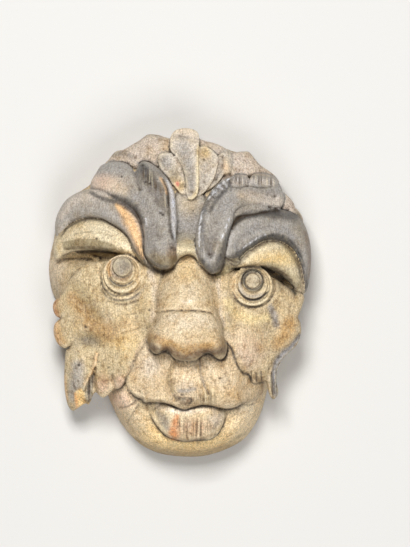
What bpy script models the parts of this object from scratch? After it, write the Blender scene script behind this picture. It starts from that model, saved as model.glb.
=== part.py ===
"""A carved wooden foliate mask: a grotesque face made of acanthus leaves, in one piece.

It lies on its flat back with the face up. +X is to the viewer's right, +Y runs from the chin to the
crest, and +Z comes out of the face. The origin is on the back, between the chin and the crest.
"""

import math
from collections import namedtuple

import bmesh
import bpy
import numpy as np
from mathutils import Matrix

# Driving sizes, in metres.
MASK_HEIGHT = 0.280  # chin to the tip of the crest
MASK_DEPTH = 0.127  # flat back to the tip of the nose
GRAIN_OF_CLAY = 0.0019  # cell in which the carved forms are merged into one skin

# The carving is laid out in parts, as a carver does with dividers.
PARTS_HIGH = 330  # parts in the mask's height, across and up the face
PARTS_DEEP = 150  # parts in the mask's depth
PART = MASK_HEIGHT / PARTS_HIGH
DEPTH_PART = MASK_DEPTH / PARTS_DEEP

GRID_STEP = 2.2  # parts between the points of a carved form's surface
CURVE_STEPS = 6  # points that a smooth curve adds between two of its own
MASK_TRIANGLES = 9400  # most triangles in the finished skin
SINK = 14  # parts that every form reaches below the back before the back is cut flat

# A form is how far inside its outline a point lies, its height there, and its box, as (x, y) corners.
Form = namedtuple("Form", "inside height box")


def smooth_curve(rows, closed=False):
    """Points of a smooth curve through the rows. Widths and heights in a row are eased along with x and y."""
    rows = np.array(rows, float)
    if closed:
        around = np.vstack([rows[-1], rows, rows[:2]])
    else:
        around = np.vstack([2 * rows[0] - rows[1], rows, 2 * rows[-1] - rows[-2]])
    share = (np.arange(CURVE_STEPS) / CURVE_STEPS)[:, None]
    stretches = []
    for before, start, end, after in zip(around, around[1:], around[2:], around[3:]):
        bend = 2 * before - 5 * start + 4 * end - after
        twist = 3 * start - before - 3 * end + after
        stretches.append(start + 0.5 * share * (end - before + share * (bend + share * twist)))
    if not closed:
        stretches.append(rows[-1:])
    return np.vstack(stretches)


def nearest(curve, x, y, closed=False):
    """Distance from each point to the curve, and the curve's own row at the nearest place."""
    ends = np.roll(curve, -1, axis=0) if closed else curve[1:]
    starts = curve if closed else curve[:-1]
    best = np.full(x.shape, np.inf)
    row = np.zeros(x.shape + (curve.shape[1],))
    for start, end in zip(starts, ends):
        run = end - start
        length_squared = run[0] ** 2 + run[1] ** 2 + 1e-12
        share = ((x - start[0]) * run[0] + (y - start[1]) * run[1]) / length_squared
        share = np.clip(share, 0, 1)
        distance = np.hypot(x - start[0] - share * run[0], y - start[1] - share * run[1])
        closer = distance < best
        best[closer] = distance[closer]
        if curve.shape[1] > 2:
            row[closer] = start + share[closer, None] * run
    return best, row


def dome(x, y):
    """Height of the swelling head that every form sits on. It runs on past the outline, for free tips."""
    across = (x / 155) ** 2
    along = ((y + 5) / 195) ** 2
    return 95 * np.sqrt(np.maximum(0.05, 1 - across - along))


def rounded(inside, radius):
    """What a rounded edge takes off the height, from the whole radius at the edge to nothing inside it."""
    share = 1 - np.clip(inside / radius, 0, 1)
    return radius * (1 - np.sqrt(np.maximum(0, 1 - share**2)))


def bump(x, y, centre, radii, height):
    """A soft swelling, or a hollow where the height is negative."""
    reach = ((x - centre[0]) / radii[0]) ** 2 + ((y - centre[1]) / radii[1]) ** 2
    return height * np.exp(-reach)


def groove(x, y, rows, depth=1.0):
    """What a gouge cuts away along a curve. Each row is x, y, half width."""
    curve = smooth_curve(rows)
    margin = 3 * curve[:, 2].max()
    low, high = box_of(curve, margin)
    near = (x > low[0]) & (x < high[0]) & (y > low[1]) & (y < high[1])
    cut = np.zeros(x.shape)
    if near.any():
        distance, row = nearest(curve, x[near], y[near])
        cut[near] = depth * np.exp(-((distance / row[:, 2]) ** 2))
    return cut


def box_of(curve, margin):
    """Lowest and highest x and y of a curve, with a margin."""
    low = curve[:, :2].min(axis=0) - margin
    high = curve[:, :2].max(axis=0) + margin
    return low, high


def ridge(rows, fall=6):
    """Height of a form along a curve. Each row is x, y, half width, rise over the dome.

    The height falls to the sides, by fall at the half width.
    """
    curve = smooth_curve(rows)

    def height(x, y):
        distance, row = nearest(curve, x, y)
        across = distance / row[:, 2]
        return dome(x, y) + row[:, 3] - fall * np.minimum(across, 2) ** 2

    return height


def highest(*heights):
    """The highest of several height functions, with the valleys between them filled a little."""
    fillet = 1.5

    def height(x, y):
        return fillet * np.logaddexp.reduce([each(x, y) / fillet for each in heights])

    return height


def area(rows, height, edge=6):
    """A form inside a closed outline, with its height given by a function and its edge rounded."""
    curve = smooth_curve(rows, closed=True)
    ends = np.roll(curve, -1, axis=0)

    def inside(x, y):
        distance, _ = nearest(curve, x, y, closed=True)
        crossings = np.zeros(x.shape, int)
        for (start_x, start_y), (end_x, end_y) in zip(curve, ends):
            between = (start_y > y) != (end_y > y)
            climb = end_y - start_y if end_y != start_y else 1e-12
            crossings += between & (x < start_x + (y - start_y) * (end_x - start_x) / climb)
        return np.where(crossings % 2 == 1, distance, -distance)

    def shaped(x, y, depth_in):
        return height(x, y) - rounded(depth_in, edge)

    return Form(inside, shaped, box_of(curve, 0))


def slab(carving, form, edge_depth=None, undercut=1.0):
    """Adds a form to the carving as a closed slab.

    With an edge_depth its edge stands free, that thick, and its underside falls away inwards by the
    undercut. Without one its sides go straight down through the back.
    """
    (low_x, low_y), (high_x, high_y) = form.box
    columns = math.ceil((high_x - low_x) / GRID_STEP) + 2
    lines = math.ceil((high_y - low_y) / GRID_STEP) + 2
    middle = Matrix.Translation(((low_x + high_x) / 2, (low_y + high_y) / 2, 0))
    spread = Matrix.Diagonal((columns * GRID_STEP / 2, lines * GRID_STEP / 2, 1, 1))
    sheet = bmesh.new()
    bmesh.ops.create_grid(
        sheet, x_segments=columns, y_segments=lines, size=1, matrix=middle @ spread
    )
    points = np.array([vertex.co for vertex in sheet.verts])
    x, y = points[:, 0], points[:, 1]
    inside = form.inside(x, y)
    outside = inside < -0.9 * GRID_STEP
    rim = (inside < 0) & ~outside
    nudge = 0.3
    rim_x, rim_y, rim_inside = x[rim], y[rim], inside[rim]
    slope_x = (form.inside(rim_x + nudge, rim_y) - rim_inside) / nudge
    slope_y = (form.inside(rim_x, rim_y + nudge) - rim_inside) / nudge
    steep = np.maximum(0.3, np.hypot(slope_x, slope_y))
    x[rim] = rim_x - rim_inside * slope_x / steep**2
    y[rim] = rim_y - rim_inside * slope_y / steep**2
    inside[rim] = form.inside(x[rim], y[rim])
    top = form.height(x, y, inside)
    if edge_depth is None:
        bottom = np.full(x.shape, -float(SINK))
    else:
        bottom = np.maximum(top - edge_depth - undercut * np.maximum(0, inside), -SINK)
    below = sheet.verts.layers.float.new("below")
    for vertex, new_x, new_y, new_z, under in zip(sheet.verts[:], x, y, top, bottom):
        vertex.co = (new_x, new_y, new_z)
        vertex[below] = under
    doomed = [vertex for vertex, gone in zip(sheet.verts, outside) if gone]
    bmesh.ops.delete(sheet, geom=doomed, context="VERTS")
    made = bmesh.ops.extrude_face_region(sheet, geom=sheet.faces[:], use_keep_orig=True)
    for vertex in made["geom"]:
        if isinstance(vertex, bmesh.types.BMVert):
            vertex.co.z = vertex[below]
    bmesh.ops.recalc_face_normals(sheet, faces=sheet.faces[:])
    add_to(carving, sheet)


def add_to(carving, form):
    """Moves a form's mesh into the carving."""
    mesh = bpy.data.meshes.new("form")
    form.to_mesh(mesh)
    form.free()
    carving.from_mesh(mesh)
    bpy.data.meshes.remove(mesh)


def turned(carving, centre, lean_up, lean_right, steps):
    """Adds a stack of round steps, each (radius, height, shift up the face), leaning up and to the right."""
    lean = Matrix.Rotation(lean_right, 4, "Y") @ Matrix.Rotation(-lean_up, 4, "X")
    drum = 40
    for radius, height, shift in steps:
        top = Matrix.Translation((centre[0], centre[1] + shift, height))
        stack = bmesh.new()
        bmesh.ops.create_cone(
            stack,
            cap_ends=True,
            segments=64,
            radius1=radius + 2,
            radius2=radius - 0.6,
            depth=drum,
            matrix=top @ lean @ Matrix.Translation((0, 0, -drum / 2)),
        )
        add_to(carving, stack)


def core_outline():
    """The head's own outline, clockwise from the crest, without the leaf tips that stand free of it."""
    return [
        (0, 154), (15, 152), (30, 149), (45, 142), (58, 138), (70, 128), (85, 119), (96, 103),
        (108, 84), (119, 62), (124, 40), (123, 12), (119, 0), (114, -20), (105, -46), (94, -68),
        (85, -90), (81, -104), (77, -118), (70, -133), (58, -148), (40, -158), (20, -164), (2, -165),
        (-20, -163), (-35, -158), (-48, -150), (-63, -133), (-72, -116), (-77, -104), (-84, -84),
        (-98, -56), (-116, -28), (-131, -5), (-136, 15), (-136, 34), (-132, 50), (-128, 72),
        (-120, 89), (-108, 99), (-94, 109), (-82, 127), (-72, 136), (-55, 145), (-38, 154), (-18, 154),
    ]


def head():
    """The solid head under the leaves, hollowed at the eyes."""
    sockets = [((-96, 34), (34, 7), -26), ((96, 14), (24, 13), -34)]
    fillings = [
        ((0, -82), (62, 30), 8), ((3, -5), (44, 50), 12), ((0, 110), (46, 34), 3),
        ((0, -150), (60, 14), 4),
    ]
    lower_lids = [
        (4, [(-130, 33, 1.5), (-120, 35.5, 1.8), (-108, 36.5, 2), (-97, 35.5, 2), (-88, 33, 2)]),
        (-3, [(-126, 30, 1.2), (-112, 32, 1.6), (-98, 31, 1.8)]),
        (5, [(88, 12, 2), (94, 6, 2.4), (101, -1, 2.8), (107, -8, 3)]),
    ]
    outline = area(core_outline(), lambda x, y: x * 0, edge=1)

    def height(x, y, inside):
        roll = 38 - 19 / (1 + np.exp((y + 86) / 5))
        share = 1 - np.clip(inside / roll, 0, 1)
        top = dome(x, y) * np.sqrt(np.maximum(0, 1 - share**2.4))
        for centre, radii, depth in sockets + fillings:
            top = top + bump(x, y, centre, radii, depth)
        for rise, rows in lower_lids:
            top = top + groove(x, y, rows, rise)
        return top

    return Form(outline.inside, height, outline.box)


def crest():
    """The fluted palmette on the forehead and the broad lobes behind it."""
    left_back = [
        (-70, 136), (-55, 146), (-45, 152), (-37, 157.5), (-27, 157), (-21, 155), (-12, 152),
        (-4, 146), (-6, 130), (-20, 122), (-34, 122), (-50, 124), (-62, 130),
    ]
    left_far = [
        (-78, 126), (-77, 131), (-73, 137), (-68, 141), (-60, 142), (-54, 139), (-50, 134),
        (-54, 126), (-64, 122),
    ]
    right_back = [
        (43, 122), (45, 134), (49, 139), (60, 140.5), (65, 139), (74, 128), (84, 121), (91, 115),
        (94, 108), (86, 102), (70, 104), (54, 108),
    ]
    right_middle = [
        (5, 150), (14, 152.5), (22, 150.5), (33, 147.5), (44, 141), (52, 136), (52, 118), (38, 106),
        (20, 106), (8, 128),
    ]
    right_low = [
        (84, 108), (92, 108), (97, 101), (103, 96), (109, 88), (109, 80), (100, 76), (90, 84),
    ]
    right_end = [(104, 84), (110, 84), (115, 79), (118, 72), (117, 66), (108, 62), (98, 68)]

    def swell(rise, centre, radii, height):
        return lambda x, y: dome(x, y) + rise + bump(x, y, centre, radii, height)

    lobes = [
        area(left_back, swell(1, (-34, 142), (26, 16), 6), 5),
        area(left_far, swell(-2, (-65, 132), (12, 8), 5), 4),
        area(right_middle, swell(0, (30, 132), (14, 18), 3), 4),
        area(right_back, swell(1, (64, 124), (24, 14), 6), 4),
        area(right_low, swell(0, (100, 92), (9, 10), 4), 4),
        area(right_end, swell(2, (110, 74), (7, 9), 5), 4),
    ]
    centre = [
        (5, 92), (1.5, 97), (0.5, 108), (-1.7, 119), (-5, 127.5), (-10, 136), (-14.5, 141),
        (-15, 149), (-14, 156), (-9.5, 161.5), (-2, 163.7), (6.5, 163), (12, 160), (14.3, 155),
        (14, 146), (13.5, 126), (14, 109), (12, 96),
    ]
    left = [
        (1.5, 99), (-4, 98), (-8, 102.5), (-13, 108.5), (-18.5, 117), (-24.5, 123), (-27, 131),
        (-26, 137), (-20.5, 139.5), (-14.5, 138.5), (-8, 133), (-2, 126), (3, 115),
    ]
    right = [
        (8, 95), (8, 110), (9, 130), (11, 142), (19, 146), (24, 144), (30, 139), (33.7, 132.5),
        (31.5, 121), (28, 111), (21, 101), (14, 95),
    ]
    right_small = [
        (20, 100), (26, 112), (30, 124), (33, 135), (38, 139.5), (42, 135), (42, 125), (38, 116),
        (30, 106),
    ]
    knob = [(38, 118), (38, 128), (38, 138), (43, 141), (47.5, 135), (47.5, 124), (44, 118)]

    def flute(rise, rows, depth):
        return lambda x, y: dome(x, y) + rise - groove(x, y, rows, depth)

    def palm(x, y):
        broken_top = 1.5 * (1 + np.tanh((y - 153.5 + 0.12 * x) * 1.2))
        hollow = groove(x, y, [(-3, 158, 9), (-2, 146, 9), (2, 132, 7.5), (6, 118, 5.5), (6.5, 100, 4)], 4.5)
        return dome(x, y) + 13.5 - broken_top - hollow

    leaflets = [
        area(right_small, flute(6.5, [(38, 134, 3), (37, 124, 3), (32, 112, 2.5)], 2.5), 1.5),
        area(knob, swell(5, (42, 130), (3, 8), 3), 3),
        area(left, flute(10, [(-20, 132, 5.5), (-12, 120, 6), (-4, 106, 4)], 3), 2),
        area(right, flute(10, [(21, 140, 5), (22, 126, 6.5), (19, 110, 5), (13, 100, 3)], 3.5), 1.5),
        area(centre, palm, 1.5),
    ]
    return lobes, leaflets


def left_brow_leaf():
    """The great leaf left of the forehead, from its bulb over the nose to its two upper lobes."""
    outline = [
        (-20, 22.5), (-28, 24), (-34, 28.5), (-38.5, 34), (-40.5, 43), (-40.5, 55), (-42.8, 67),
        (-46.5, 76.5), (-53, 84), (-65, 89), (-75, 91.5), (-84, 93), (-90, 97), (-94.5, 104),
        (-93.5, 111), (-89, 119), (-83, 127), (-72, 130), (-60, 129), (-53, 124), (-49.5, 117.5),
        (-47.5, 125), (-43.5, 129.8), (-37.5, 130), (-31, 126.5), (-25, 122), (-17, 113),
        (-12.5, 105), (-10, 97), (-9, 86), (-8, 72), (-8.5, 60), (-9, 50), (-9.5, 42), (-9, 35),
        (-10, 29.5), (-14, 24.5),
    ]
    bulb = [(-20, 41, 19, 47), (-23, 54, 17, 44), (-26, 68, 17, 38)]
    body = [
        (-23, 54, 17, 44.5), (-26, 72, 18, 39), (-29, 90, 19, 33), (-34, 104, 18, 29),
        (-39, 118, 14, 26), (-40, 130, 12, 21),
    ]
    lobe = [(-32, 74, 15, 34), (-46, 95, 17, 28), (-62, 106, 19, 25), (-78, 110, 18, 20), (-93, 107, 14, 11)]
    height = highest(ridge(bulb, 7), ridge(body, 6), ridge(lobe, 6))

    def gouged(x, y):
        along_lobe = [
            (-85, 115, 5), (-70, 114, 7), (-56, 105, 7), (-43, 89, 6), (-33, 70, 5.5), (-27, 56, 4),
        ]
        along_body = [(-39, 122, 5), (-34, 108, 6), (-28, 92, 5)]
        scratched = [(-25, 121, 2), (-20, 110, 2.2), (-17, 99, 2), (-16, 88, 1.4)]
        notch = [(-49, 121, 2.2), (-48, 112, 2.4), (-45, 102, 2)]
        cuts = groove(x, y, along_lobe, 4) + groove(x, y, along_body, 3)
        return height(x, y) - cuts - groove(x, y, scratched, 2.6) - groove(x, y, notch, 4)

    return area(outline, gouged, edge=6)


def right_brow_leaf():
    """The great leaf right of the forehead, which bends over to the side."""
    outline = [
        (28, 17.5), (22, 21), (16, 29), (12, 41), (10.5, 54), (12.5, 70), (16.5, 83), (21.5, 94),
        (29, 104.5), (37, 111.5), (45.5, 115), (51, 117), (57, 117.5), (62, 116), (64.2, 112),
        (67, 116.5), (73, 118.5), (81, 118), (87, 116), (90.5, 113.5), (94.5, 108), (97.5, 101),
        (99.2, 95), (98.5, 89), (95, 84), (88, 84.5), (79, 86), (68, 87), (57, 85.5), (50, 80),
        (48, 70), (45, 61), (41.7, 49), (39.5, 36), (37, 25.5), (33.5, 19.5),
    ]
    body = [
        (26, 30, 13, 44), (25.5, 44, 15, 45), (28, 58, 16, 43), (32, 72, 17, 39), (41, 87, 18, 34),
        (55, 98, 18, 29), (73, 101, 18, 24), (93, 98, 15, 17),
    ]
    height = ridge(body, 5)

    def gouged(x, y):
        hollow = [
            (25, 38, 3.5), (26.5, 54, 5.5), (31, 70, 6.5), (39, 84, 6.5), (52, 94, 6),
            (70, 97.5, 5.5), (88, 96, 5),
        ]
        broken_rim = np.where(x < 64.5, 104 + 0.05 * (x - 55) ** 2, 103.5 + 0.03 * (x - 77) ** 2)
        on_break = np.clip((y - broken_rim) / 1.2, 0, 1) * np.clip((x - 46) / 1.5, 0, 1)
        broken_off = on_break * (0.55 * (y - broken_rim) + 1.2)
        between = [(64.6, 117, 1.5), (64, 110, 1.6), (62, 105, 1)]
        torn = [(44, 111, 1.2), (46.5, 106, 1.2), (46, 101, 1)]
        cuts = groove(x, y, hollow, 4.5) + groove(x, y, between, 3.5) + groove(x, y, torn, 3)
        return height(x, y) - cuts - broken_off

    return area(outline, gouged, edge=5)


def right_under_leaf():
    """The turned edge that shows below the right great leaf."""
    outline = [
        (46, 66), (48, 70), (50, 74), (55, 76), (62, 77.5), (72, 78), (79, 79), (83, 84), (80, 90),
        (65, 92), (50, 90), (42, 80), (42, 70),
    ]
    spine = [(46, 70, 7, 28), (54, 82, 8, 25), (66, 85, 8, 22), (82, 85, 8, 18)]
    return area(outline, ridge(spine, 4), edge=3)


def left_side_leaf():
    """The leaf that arches over the left eye's lid."""
    outline = [
        (-128, 52), (-130, 62), (-129, 74), (-124, 85), (-119, 92), (-112, 97), (-103, 101),
        (-93, 103), (-75, 102), (-55, 98), (-40, 88), (-28, 70), (-26, 40), (-30, 24), (-34, 23),
        (-39, 26), (-46, 32), (-51, 40), (-54, 49), (-57, 55), (-64, 62), (-73, 68), (-82, 73),
        (-92, 74.5), (-101, 74), (-111, 70), (-119, 63), (-125, 56),
    ]
    spine = [
        (-127, 64, 9, 11), (-119, 80, 11, 16), (-103, 89, 13, 21), (-85, 89, 14, 23),
        (-68, 80, 14, 25), (-54, 66, 12, 28), (-46, 48, 9, 30), (-38, 30, 6, 27),
    ]
    height = ridge(spine, 5)

    def gouged(x, y):
        above_the_rim = [(-124, 70, 4), (-112, 84, 5), (-96, 89, 5.5), (-78, 85, 5.5), (-63, 74, 4)]
        worn_edge = [(-67, 84, 2.5), (-57, 72, 2.5), (-50, 56, 2.2), (-45, 42, 2)]
        return height(x, y) - groove(x, y, above_the_rim, 2.2) + groove(x, y, worn_edge, 1.5)

    return area(outline, gouged, edge=7)


def right_side_leaf():
    """The leaf that arches over the right eye's lid."""
    outline = [
        (32, 36), (30, 60), (40, 78), (60, 82), (80, 84), (98, 82), (112, 76), (119, 68), (123, 58),
        (125.5, 46), (126, 30), (124, 12), (121, 0), (118, 2), (117, 14), (115, 26), (110, 38),
        (105, 44), (98, 49.5), (90, 51.5), (80, 50), (72, 45), (65, 40), (58, 34), (53, 30),
        (47, 30), (40, 33),
    ]
    spine = [
        (44, 40, 9, 31), (50, 54, 13, 32), (62, 64, 14, 29), (80, 68, 14, 25), (98, 64, 14, 21),
        (112, 50, 12, 16), (120, 26, 8, 11), (122, 4, 5, 5),
    ]
    height = ridge(spine, 5)

    def gouged(x, y):
        above_the_rim = [
            (52, 46, 4), (60, 56, 5), (74, 64, 5.5), (92, 65, 5.5), (108, 56, 5), (117, 38, 3.5),
        ]
        under_the_leaf = [
            (47, 64, 2), (51, 71, 2.2), (59, 75, 2.2), (70, 77, 2.2), (80, 79, 2.5), (92, 80, 3.5),
        ]
        return height(x, y) - groove(x, y, above_the_rim, 3) - groove(x, y, under_the_leaf, 5)

    return area(outline, gouged, edge=7)


def right_inner_tip():
    """The leaf end below the crack, beside the root of the nose."""
    outline = [
        (30, 16), (34, 11), (38, 12), (44, 19), (52, 26), (55, 31), (48, 34), (40, 34), (34, 28),
    ]
    return area(outline, lambda x, y: dome(x, y) + 25 - 0.4 * np.maximum(0, 30 - y), edge=3)


def left_lid():
    """The left upper lid, with a thick lower rim."""
    outline = [
        (-130, 34), (-131, 48), (-127, 58), (-120, 66), (-111, 72), (-100, 76), (-88, 76),
        (-74, 71), (-61, 63), (-52, 54), (-48, 44), (-45, 34), (-46, 30), (-57, 37), (-67, 39.5),
        (-80, 41.5), (-95, 42), (-108, 41), (-118, 38), (-127, 33),
    ]
    spine = [
        (-128, 42, 8, 5), (-117, 52, 12, 10), (-98, 57, 14, 15), (-78, 55, 13, 18),
        (-62, 47, 9, 18), (-52, 37, 6, 14),
    ]
    height = ridge(spine, 6)

    def shape(x, y):
        rim = np.clip((x + 122) / 2, 0, 1) * np.clip((54 - y) / 2, 0, 1) * np.clip((-60 - x) / 20, 0, 1)
        return height(x, y) + 2.5 * rim

    return area(outline, shape, edge=5)


def right_lid():
    """The right upper lid."""
    outline = [
        (43, 24), (48, 33), (55, 40), (63, 46), (72, 51), (81, 54), (91, 54), (103, 50),
        (112, 43), (118, 32), (121, 20), (121, 6), (116, -8), (111, -4), (107, 6), (100, 13),
        (92, 19), (83, 24), (71, 26), (60, 25),
    ]
    spine = [
        (48, 26, 6, 15), (60, 32, 9, 18), (75, 37, 12, 19), (90, 36, 13, 17), (103, 26, 11, 13),
        (111, 6, 8, 8),
    ]
    return area(outline, ridge(spine, 6), edge=5)


def glabella():
    """The smooth field between the two great leaves, which ends in a small boss over the nose."""
    outline = [
        (3, 104), (-8, 98), (-16, 80), (-17, 60), (-18, 46), (-16, 30), (-10, 29), (-5, 34.5), (3, 38),
        (9, 36), (13, 31), (18, 30), (21, 40), (22, 56), (24, 76), (20, 94), (12, 102),
    ]

    def height(x, y):
        rise = 5 + 20 * np.clip((92 - y) / 50, 0, 1) ** 1.5
        return dome(x, y) + rise + 0.012 * (x - 3) ** 2 + bump(x, y, (0, 43), (16, 9), 15)

    return area(outline, height, edge=3.5)


def left_cheek():
    """The cheek leaf left of the nose, with its lobed edge and the broken tip that hangs free."""
    outline = [
        (-22, 24), (-16, 5), (-16, -16), (-24, -31), (-36, -44), (-45, -56), (-50.5, -68), (-54.5, -79),
        (-58.5, -87), (-62, -93), (-66, -96.5), (-71, -97), (-76, -102), (-81.5, -105.5), (-86, -103),
        (-89, -99.5), (-92.5, -104), (-94.5, -109.5), (-96.5, -112.5), (-99, -111), (-103.5, -113.5),
        (-108.5, -117), (-112.5, -118.8), (-116.5, -114.5), (-118.8, -107.5), (-120.7, -93), (-120.4, -74),
        (-119, -59), (-116, -57), (-112, -51), (-116, -54), (-121, -56), (-127, -52), (-131, -43),
        (-131, -34), (-128, -29), (-124, -26), (-129, -24), (-132, -17), (-131, -10), (-125, -4),
        (-119, 4), (-115, 12), (-108, 21), (-96, 29), (-80, 31), (-60, 33), (-45, 32),
    ]

    def height(x, y):
        swells = [
            ((-72, -18), (40, 24), 3), ((-58, -66), (20, 32), 10), ((-97, -48), (15, 8), -7),
            ((-36, 8), (9, 26), 8), ((-68, 14), (34, 28), 6), ((-33, -24), (9, 15), 9),
            ((-108, -88), (9, 24), 5),
        ]
        swell = dome(x, y) + 9 + sum(bump(x, y, *each) for each in swells)
        tip_ridge = [
            (-88.5, -61, 1.2), (-90.3, -73, 1.4), (-94.5, -83, 1.5), (-99, -91, 1.5), (-101.5, -98, 1.2),
        ]
        tip_vein = [(-111, -57, 1.2), (-105, -62, 1.3), (-101.5, -68, 1.2)]
        splintered = [(-87.5, -66, 1.2), (-91, -80, 2), (-94, -90, 3.2), (-95.5, -99, 4), (-94, -109, 4)]
        between_lobes = [(-72.5, -82, 1), (-72, -90, 1.6), (-69.5, -97, 2)]
        beside_lobe = [(-90, -82, 1.2), (-91, -92, 1.8), (-88.5, -102, 2)]
        cuts = groove(x, y, splintered, 7) + groove(x, y, between_lobes, 3.5) + groove(x, y, beside_lobe, 4)
        raised = groove(x, y, tip_ridge, 3) + groove(x, y, tip_vein, 1.6)
        fresh_break = bump(x, y, (-105, -108), (5, 6), -3)
        ring = np.hypot(x + 62.5, y - 18)
        moat = 2.5 * np.exp(-(((ring - 22) / 1.3) ** 2))
        return swell - cuts + raised + fresh_break - moat

    return area(outline, height, edge=4)


def right_cheek():
    """The cheek leaf right of the nose."""
    outline = [
        (20, 18), (20, 0), (22, -18), (30, -34), (39, -46), (46, -55), (49, -65), (53, -74),
        (58, -79), (63, -81), (65, -87), (69, -91), (75, -90), (81, -89), (82, -96), (84, -102),
        (88, -107), (92, -104), (93, -98), (91, -88), (92, -78), (96, -69), (103, -61), (110, -55),
        (114, -48), (116, -39), (115, -30), (113, -25), (117, -14), (119, -4), (112, 0), (100, 7),
        (90, 13), (75, 20), (50, 22),
    ]

    def height(x, y):
        swells = [
            ((88, -25), (10, 18), -4), ((58, -56), (20, 32), 9), ((40, 5), (8, 26), 7),
            ((72, 4), (30, 26), 6), ((38, -24), (9, 15), 8),
        ]
        swell = dome(x, y) + 9 + sum(bump(x, y, *each) for each in swells)
        folded_side = [
            (115, -43, 2.5), (106, -55, 3.5), (97, -62, 4), (91, -70, 4), (88.5, -80, 3.5),
            (89, -90, 3), (90, -100, 3),
        ]
        hanging = [(84, -76, 1.2), (82.5, -86, 1.5), (83.5, -95, 1.5)]
        teeth = [
            [(66, -80, 0.9), (66.5, -90, 1.2)], [(71, -81, 0.9), (71.5, -92, 1.2)],
            [(76, -80, 0.9), (76.5, -91, 1.2)],
        ]
        swell = swell - groove(x, y, folded_side, 5) - groove(x, y, hanging, 3)
        swell = swell - bump(x, y, (71, -88), (10, 4), 2)
        for tooth in teeth:
            swell = swell - groove(x, y, tooth, 2)
        ring = np.hypot(x - 67.5, y - 6.5)
        moat = 2.5 * np.exp(-(((ring - 22.3) / 1.3) ** 2))
        return swell - moat

    return area(outline, height, edge=4)


def nose_bridge():
    """The saddle of the nose above its crease, which runs out into the cheeks."""
    outline = [
        (-36, 22), (-24, 33), (-10, 38), (4, 41), (16, 38), (28, 32), (40, 20), (43, 4), (42, -10),
        (36, -20.5), (28, -21.5), (16, -19.8), (3, -18.2), (-12, -18.5), (-23, -19.6), (-29, -20.5),
        (-34, -17), (-38, -8), (-38, 8),
    ]

    def height(x, y):
        along = np.clip((40 - y) / 58, 0, 1)
        width = 21 + 13 * along
        across = np.abs(x - 2.5 + 1.5 * along) / width
        side = 27 * np.minimum(across, 2) ** 2.3
        turned_under = 7 * np.clip((along - 0.8) / 0.2, 0, 1) ** 2
        return 103 + 37 * along**0.75 - side - turned_under

    return area(outline, height, edge=2.5)


def nose_tip():
    """The ball of the nose and its two wings, below the crease."""
    outline = [
        (2, -8), (20, -9), (29, -14), (33.5, -23), (36.3, -30), (37.4, -36), (38.5, -43),
        (41.5, -50), (42, -57.5), (39.5, -64.5), (35, -67), (30.5, -64.5), (27, -61.5), (23.5, -60.5),
        (19.5, -61), (16.5, -63.5), (11, -68), (2, -69.3), (-7.5, -68), (-12.5, -65), (-15.5, -61),
        (-18, -58.8), (-21.5, -59), (-25, -62), (-29, -63), (-33, -61.5), (-36.5, -56), (-38.6, -48),
        (-37, -41), (-32, -35), (-28, -29), (-27.5, -21), (-23, -13), (-12, -8),
    ]

    def height(x, y):
        rise = np.clip((y + 50) / 34, 0, 1.2) ** 1.5
        under = np.clip((-46 - y) / 23, 0, 1) ** 2
        across = np.minimum(np.abs(x - 1.5) / 40, 1.3)
        ball = 150 - 14 * rise - 17 * under - 28 * across**2.5
        wings = bump(x, y, (-30, -51), (8, 11), 9) + bump(x, y, (34, -54), (8, 12), 9)
        creases = bump(x, y, (-20, -58), (4.5, 8), -3) + bump(x, y, (24, -60), (4.5, 8), -3)
        return ball + wings + creases

    return area(outline, height, edge=6)


def upper_lip():
    """The leafy upper lip, with the column under the nose and its broken middle."""
    outline = [
        (-32, -40), (-46, -54), (-53, -68), (-58, -82), (-58.5, -91), (-56, -97), (-49.5, -103.5),
        (-43.5, -106), (-40, -109.5), (-36.5, -109), (-25.5, -109.5), (-15.5, -111.5), (-8, -114.5),
        (-1, -116.5), (7, -114.7), (15.5, -112.4), (25.5, -112.8), (34, -115), (42, -116), (50, -114.6),
        (58, -110.5), (67, -108), (75, -105), (79, -96), (76, -86), (64, -72), (50, -56), (44, -44),
        (20, -30), (-20, -30),
    ]

    def height(x, y):
        lifted = 15 + 6 * np.clip((-62 - y) / 40, 0, 1) - 3 * np.clip((-104 - y) / 10, 0, 1) ** 2
        lobes = bump(x, y, (-34, -88), (17, 20), 5) + bump(x, y, (38, -92), (18, 20), 5)
        lobes = lobes + bump(x, y, (2, -84), (9, 20), 3.5)
        left = [(-11, -66, 2.5), (-13.5, -78, 3.2), (-15.5, -90, 3.8), (-15, -101, 3.5), (-9, -110, 2.5)]
        right = [(15, -66, 1.8), (15.5, -78, 2), (18.5, -90, 2.6), (21.5, -101, 2)]
        grooves = groove(x, y, left, 3) + groove(x, y, right, 2.5)
        curled_rim = [(-56, -96, 1.5), (-46, -102.5, 1.8), (-34, -105.5, 1.8), (-20, -107, 1.6)]
        spur = [(-43, -98, 1.2), (-41, -104, 1.6), (-39, -109, 1.4)]
        broken = bump(x, y, (-2, -103), (8, 4), -2.5) + bump(x, y, (0, -108), (7, 4), 3.5)
        fade = 22 * np.clip((x - 50) / 28, 0, 1) ** 1.4
        raised = groove(x, y, curled_rim, 1.5) + groove(x, y, spur, 2)
        return dome(x, y) + lifted + lobes - grooves + broken - fade + raised

    return area(outline, height, edge=3)


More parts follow.
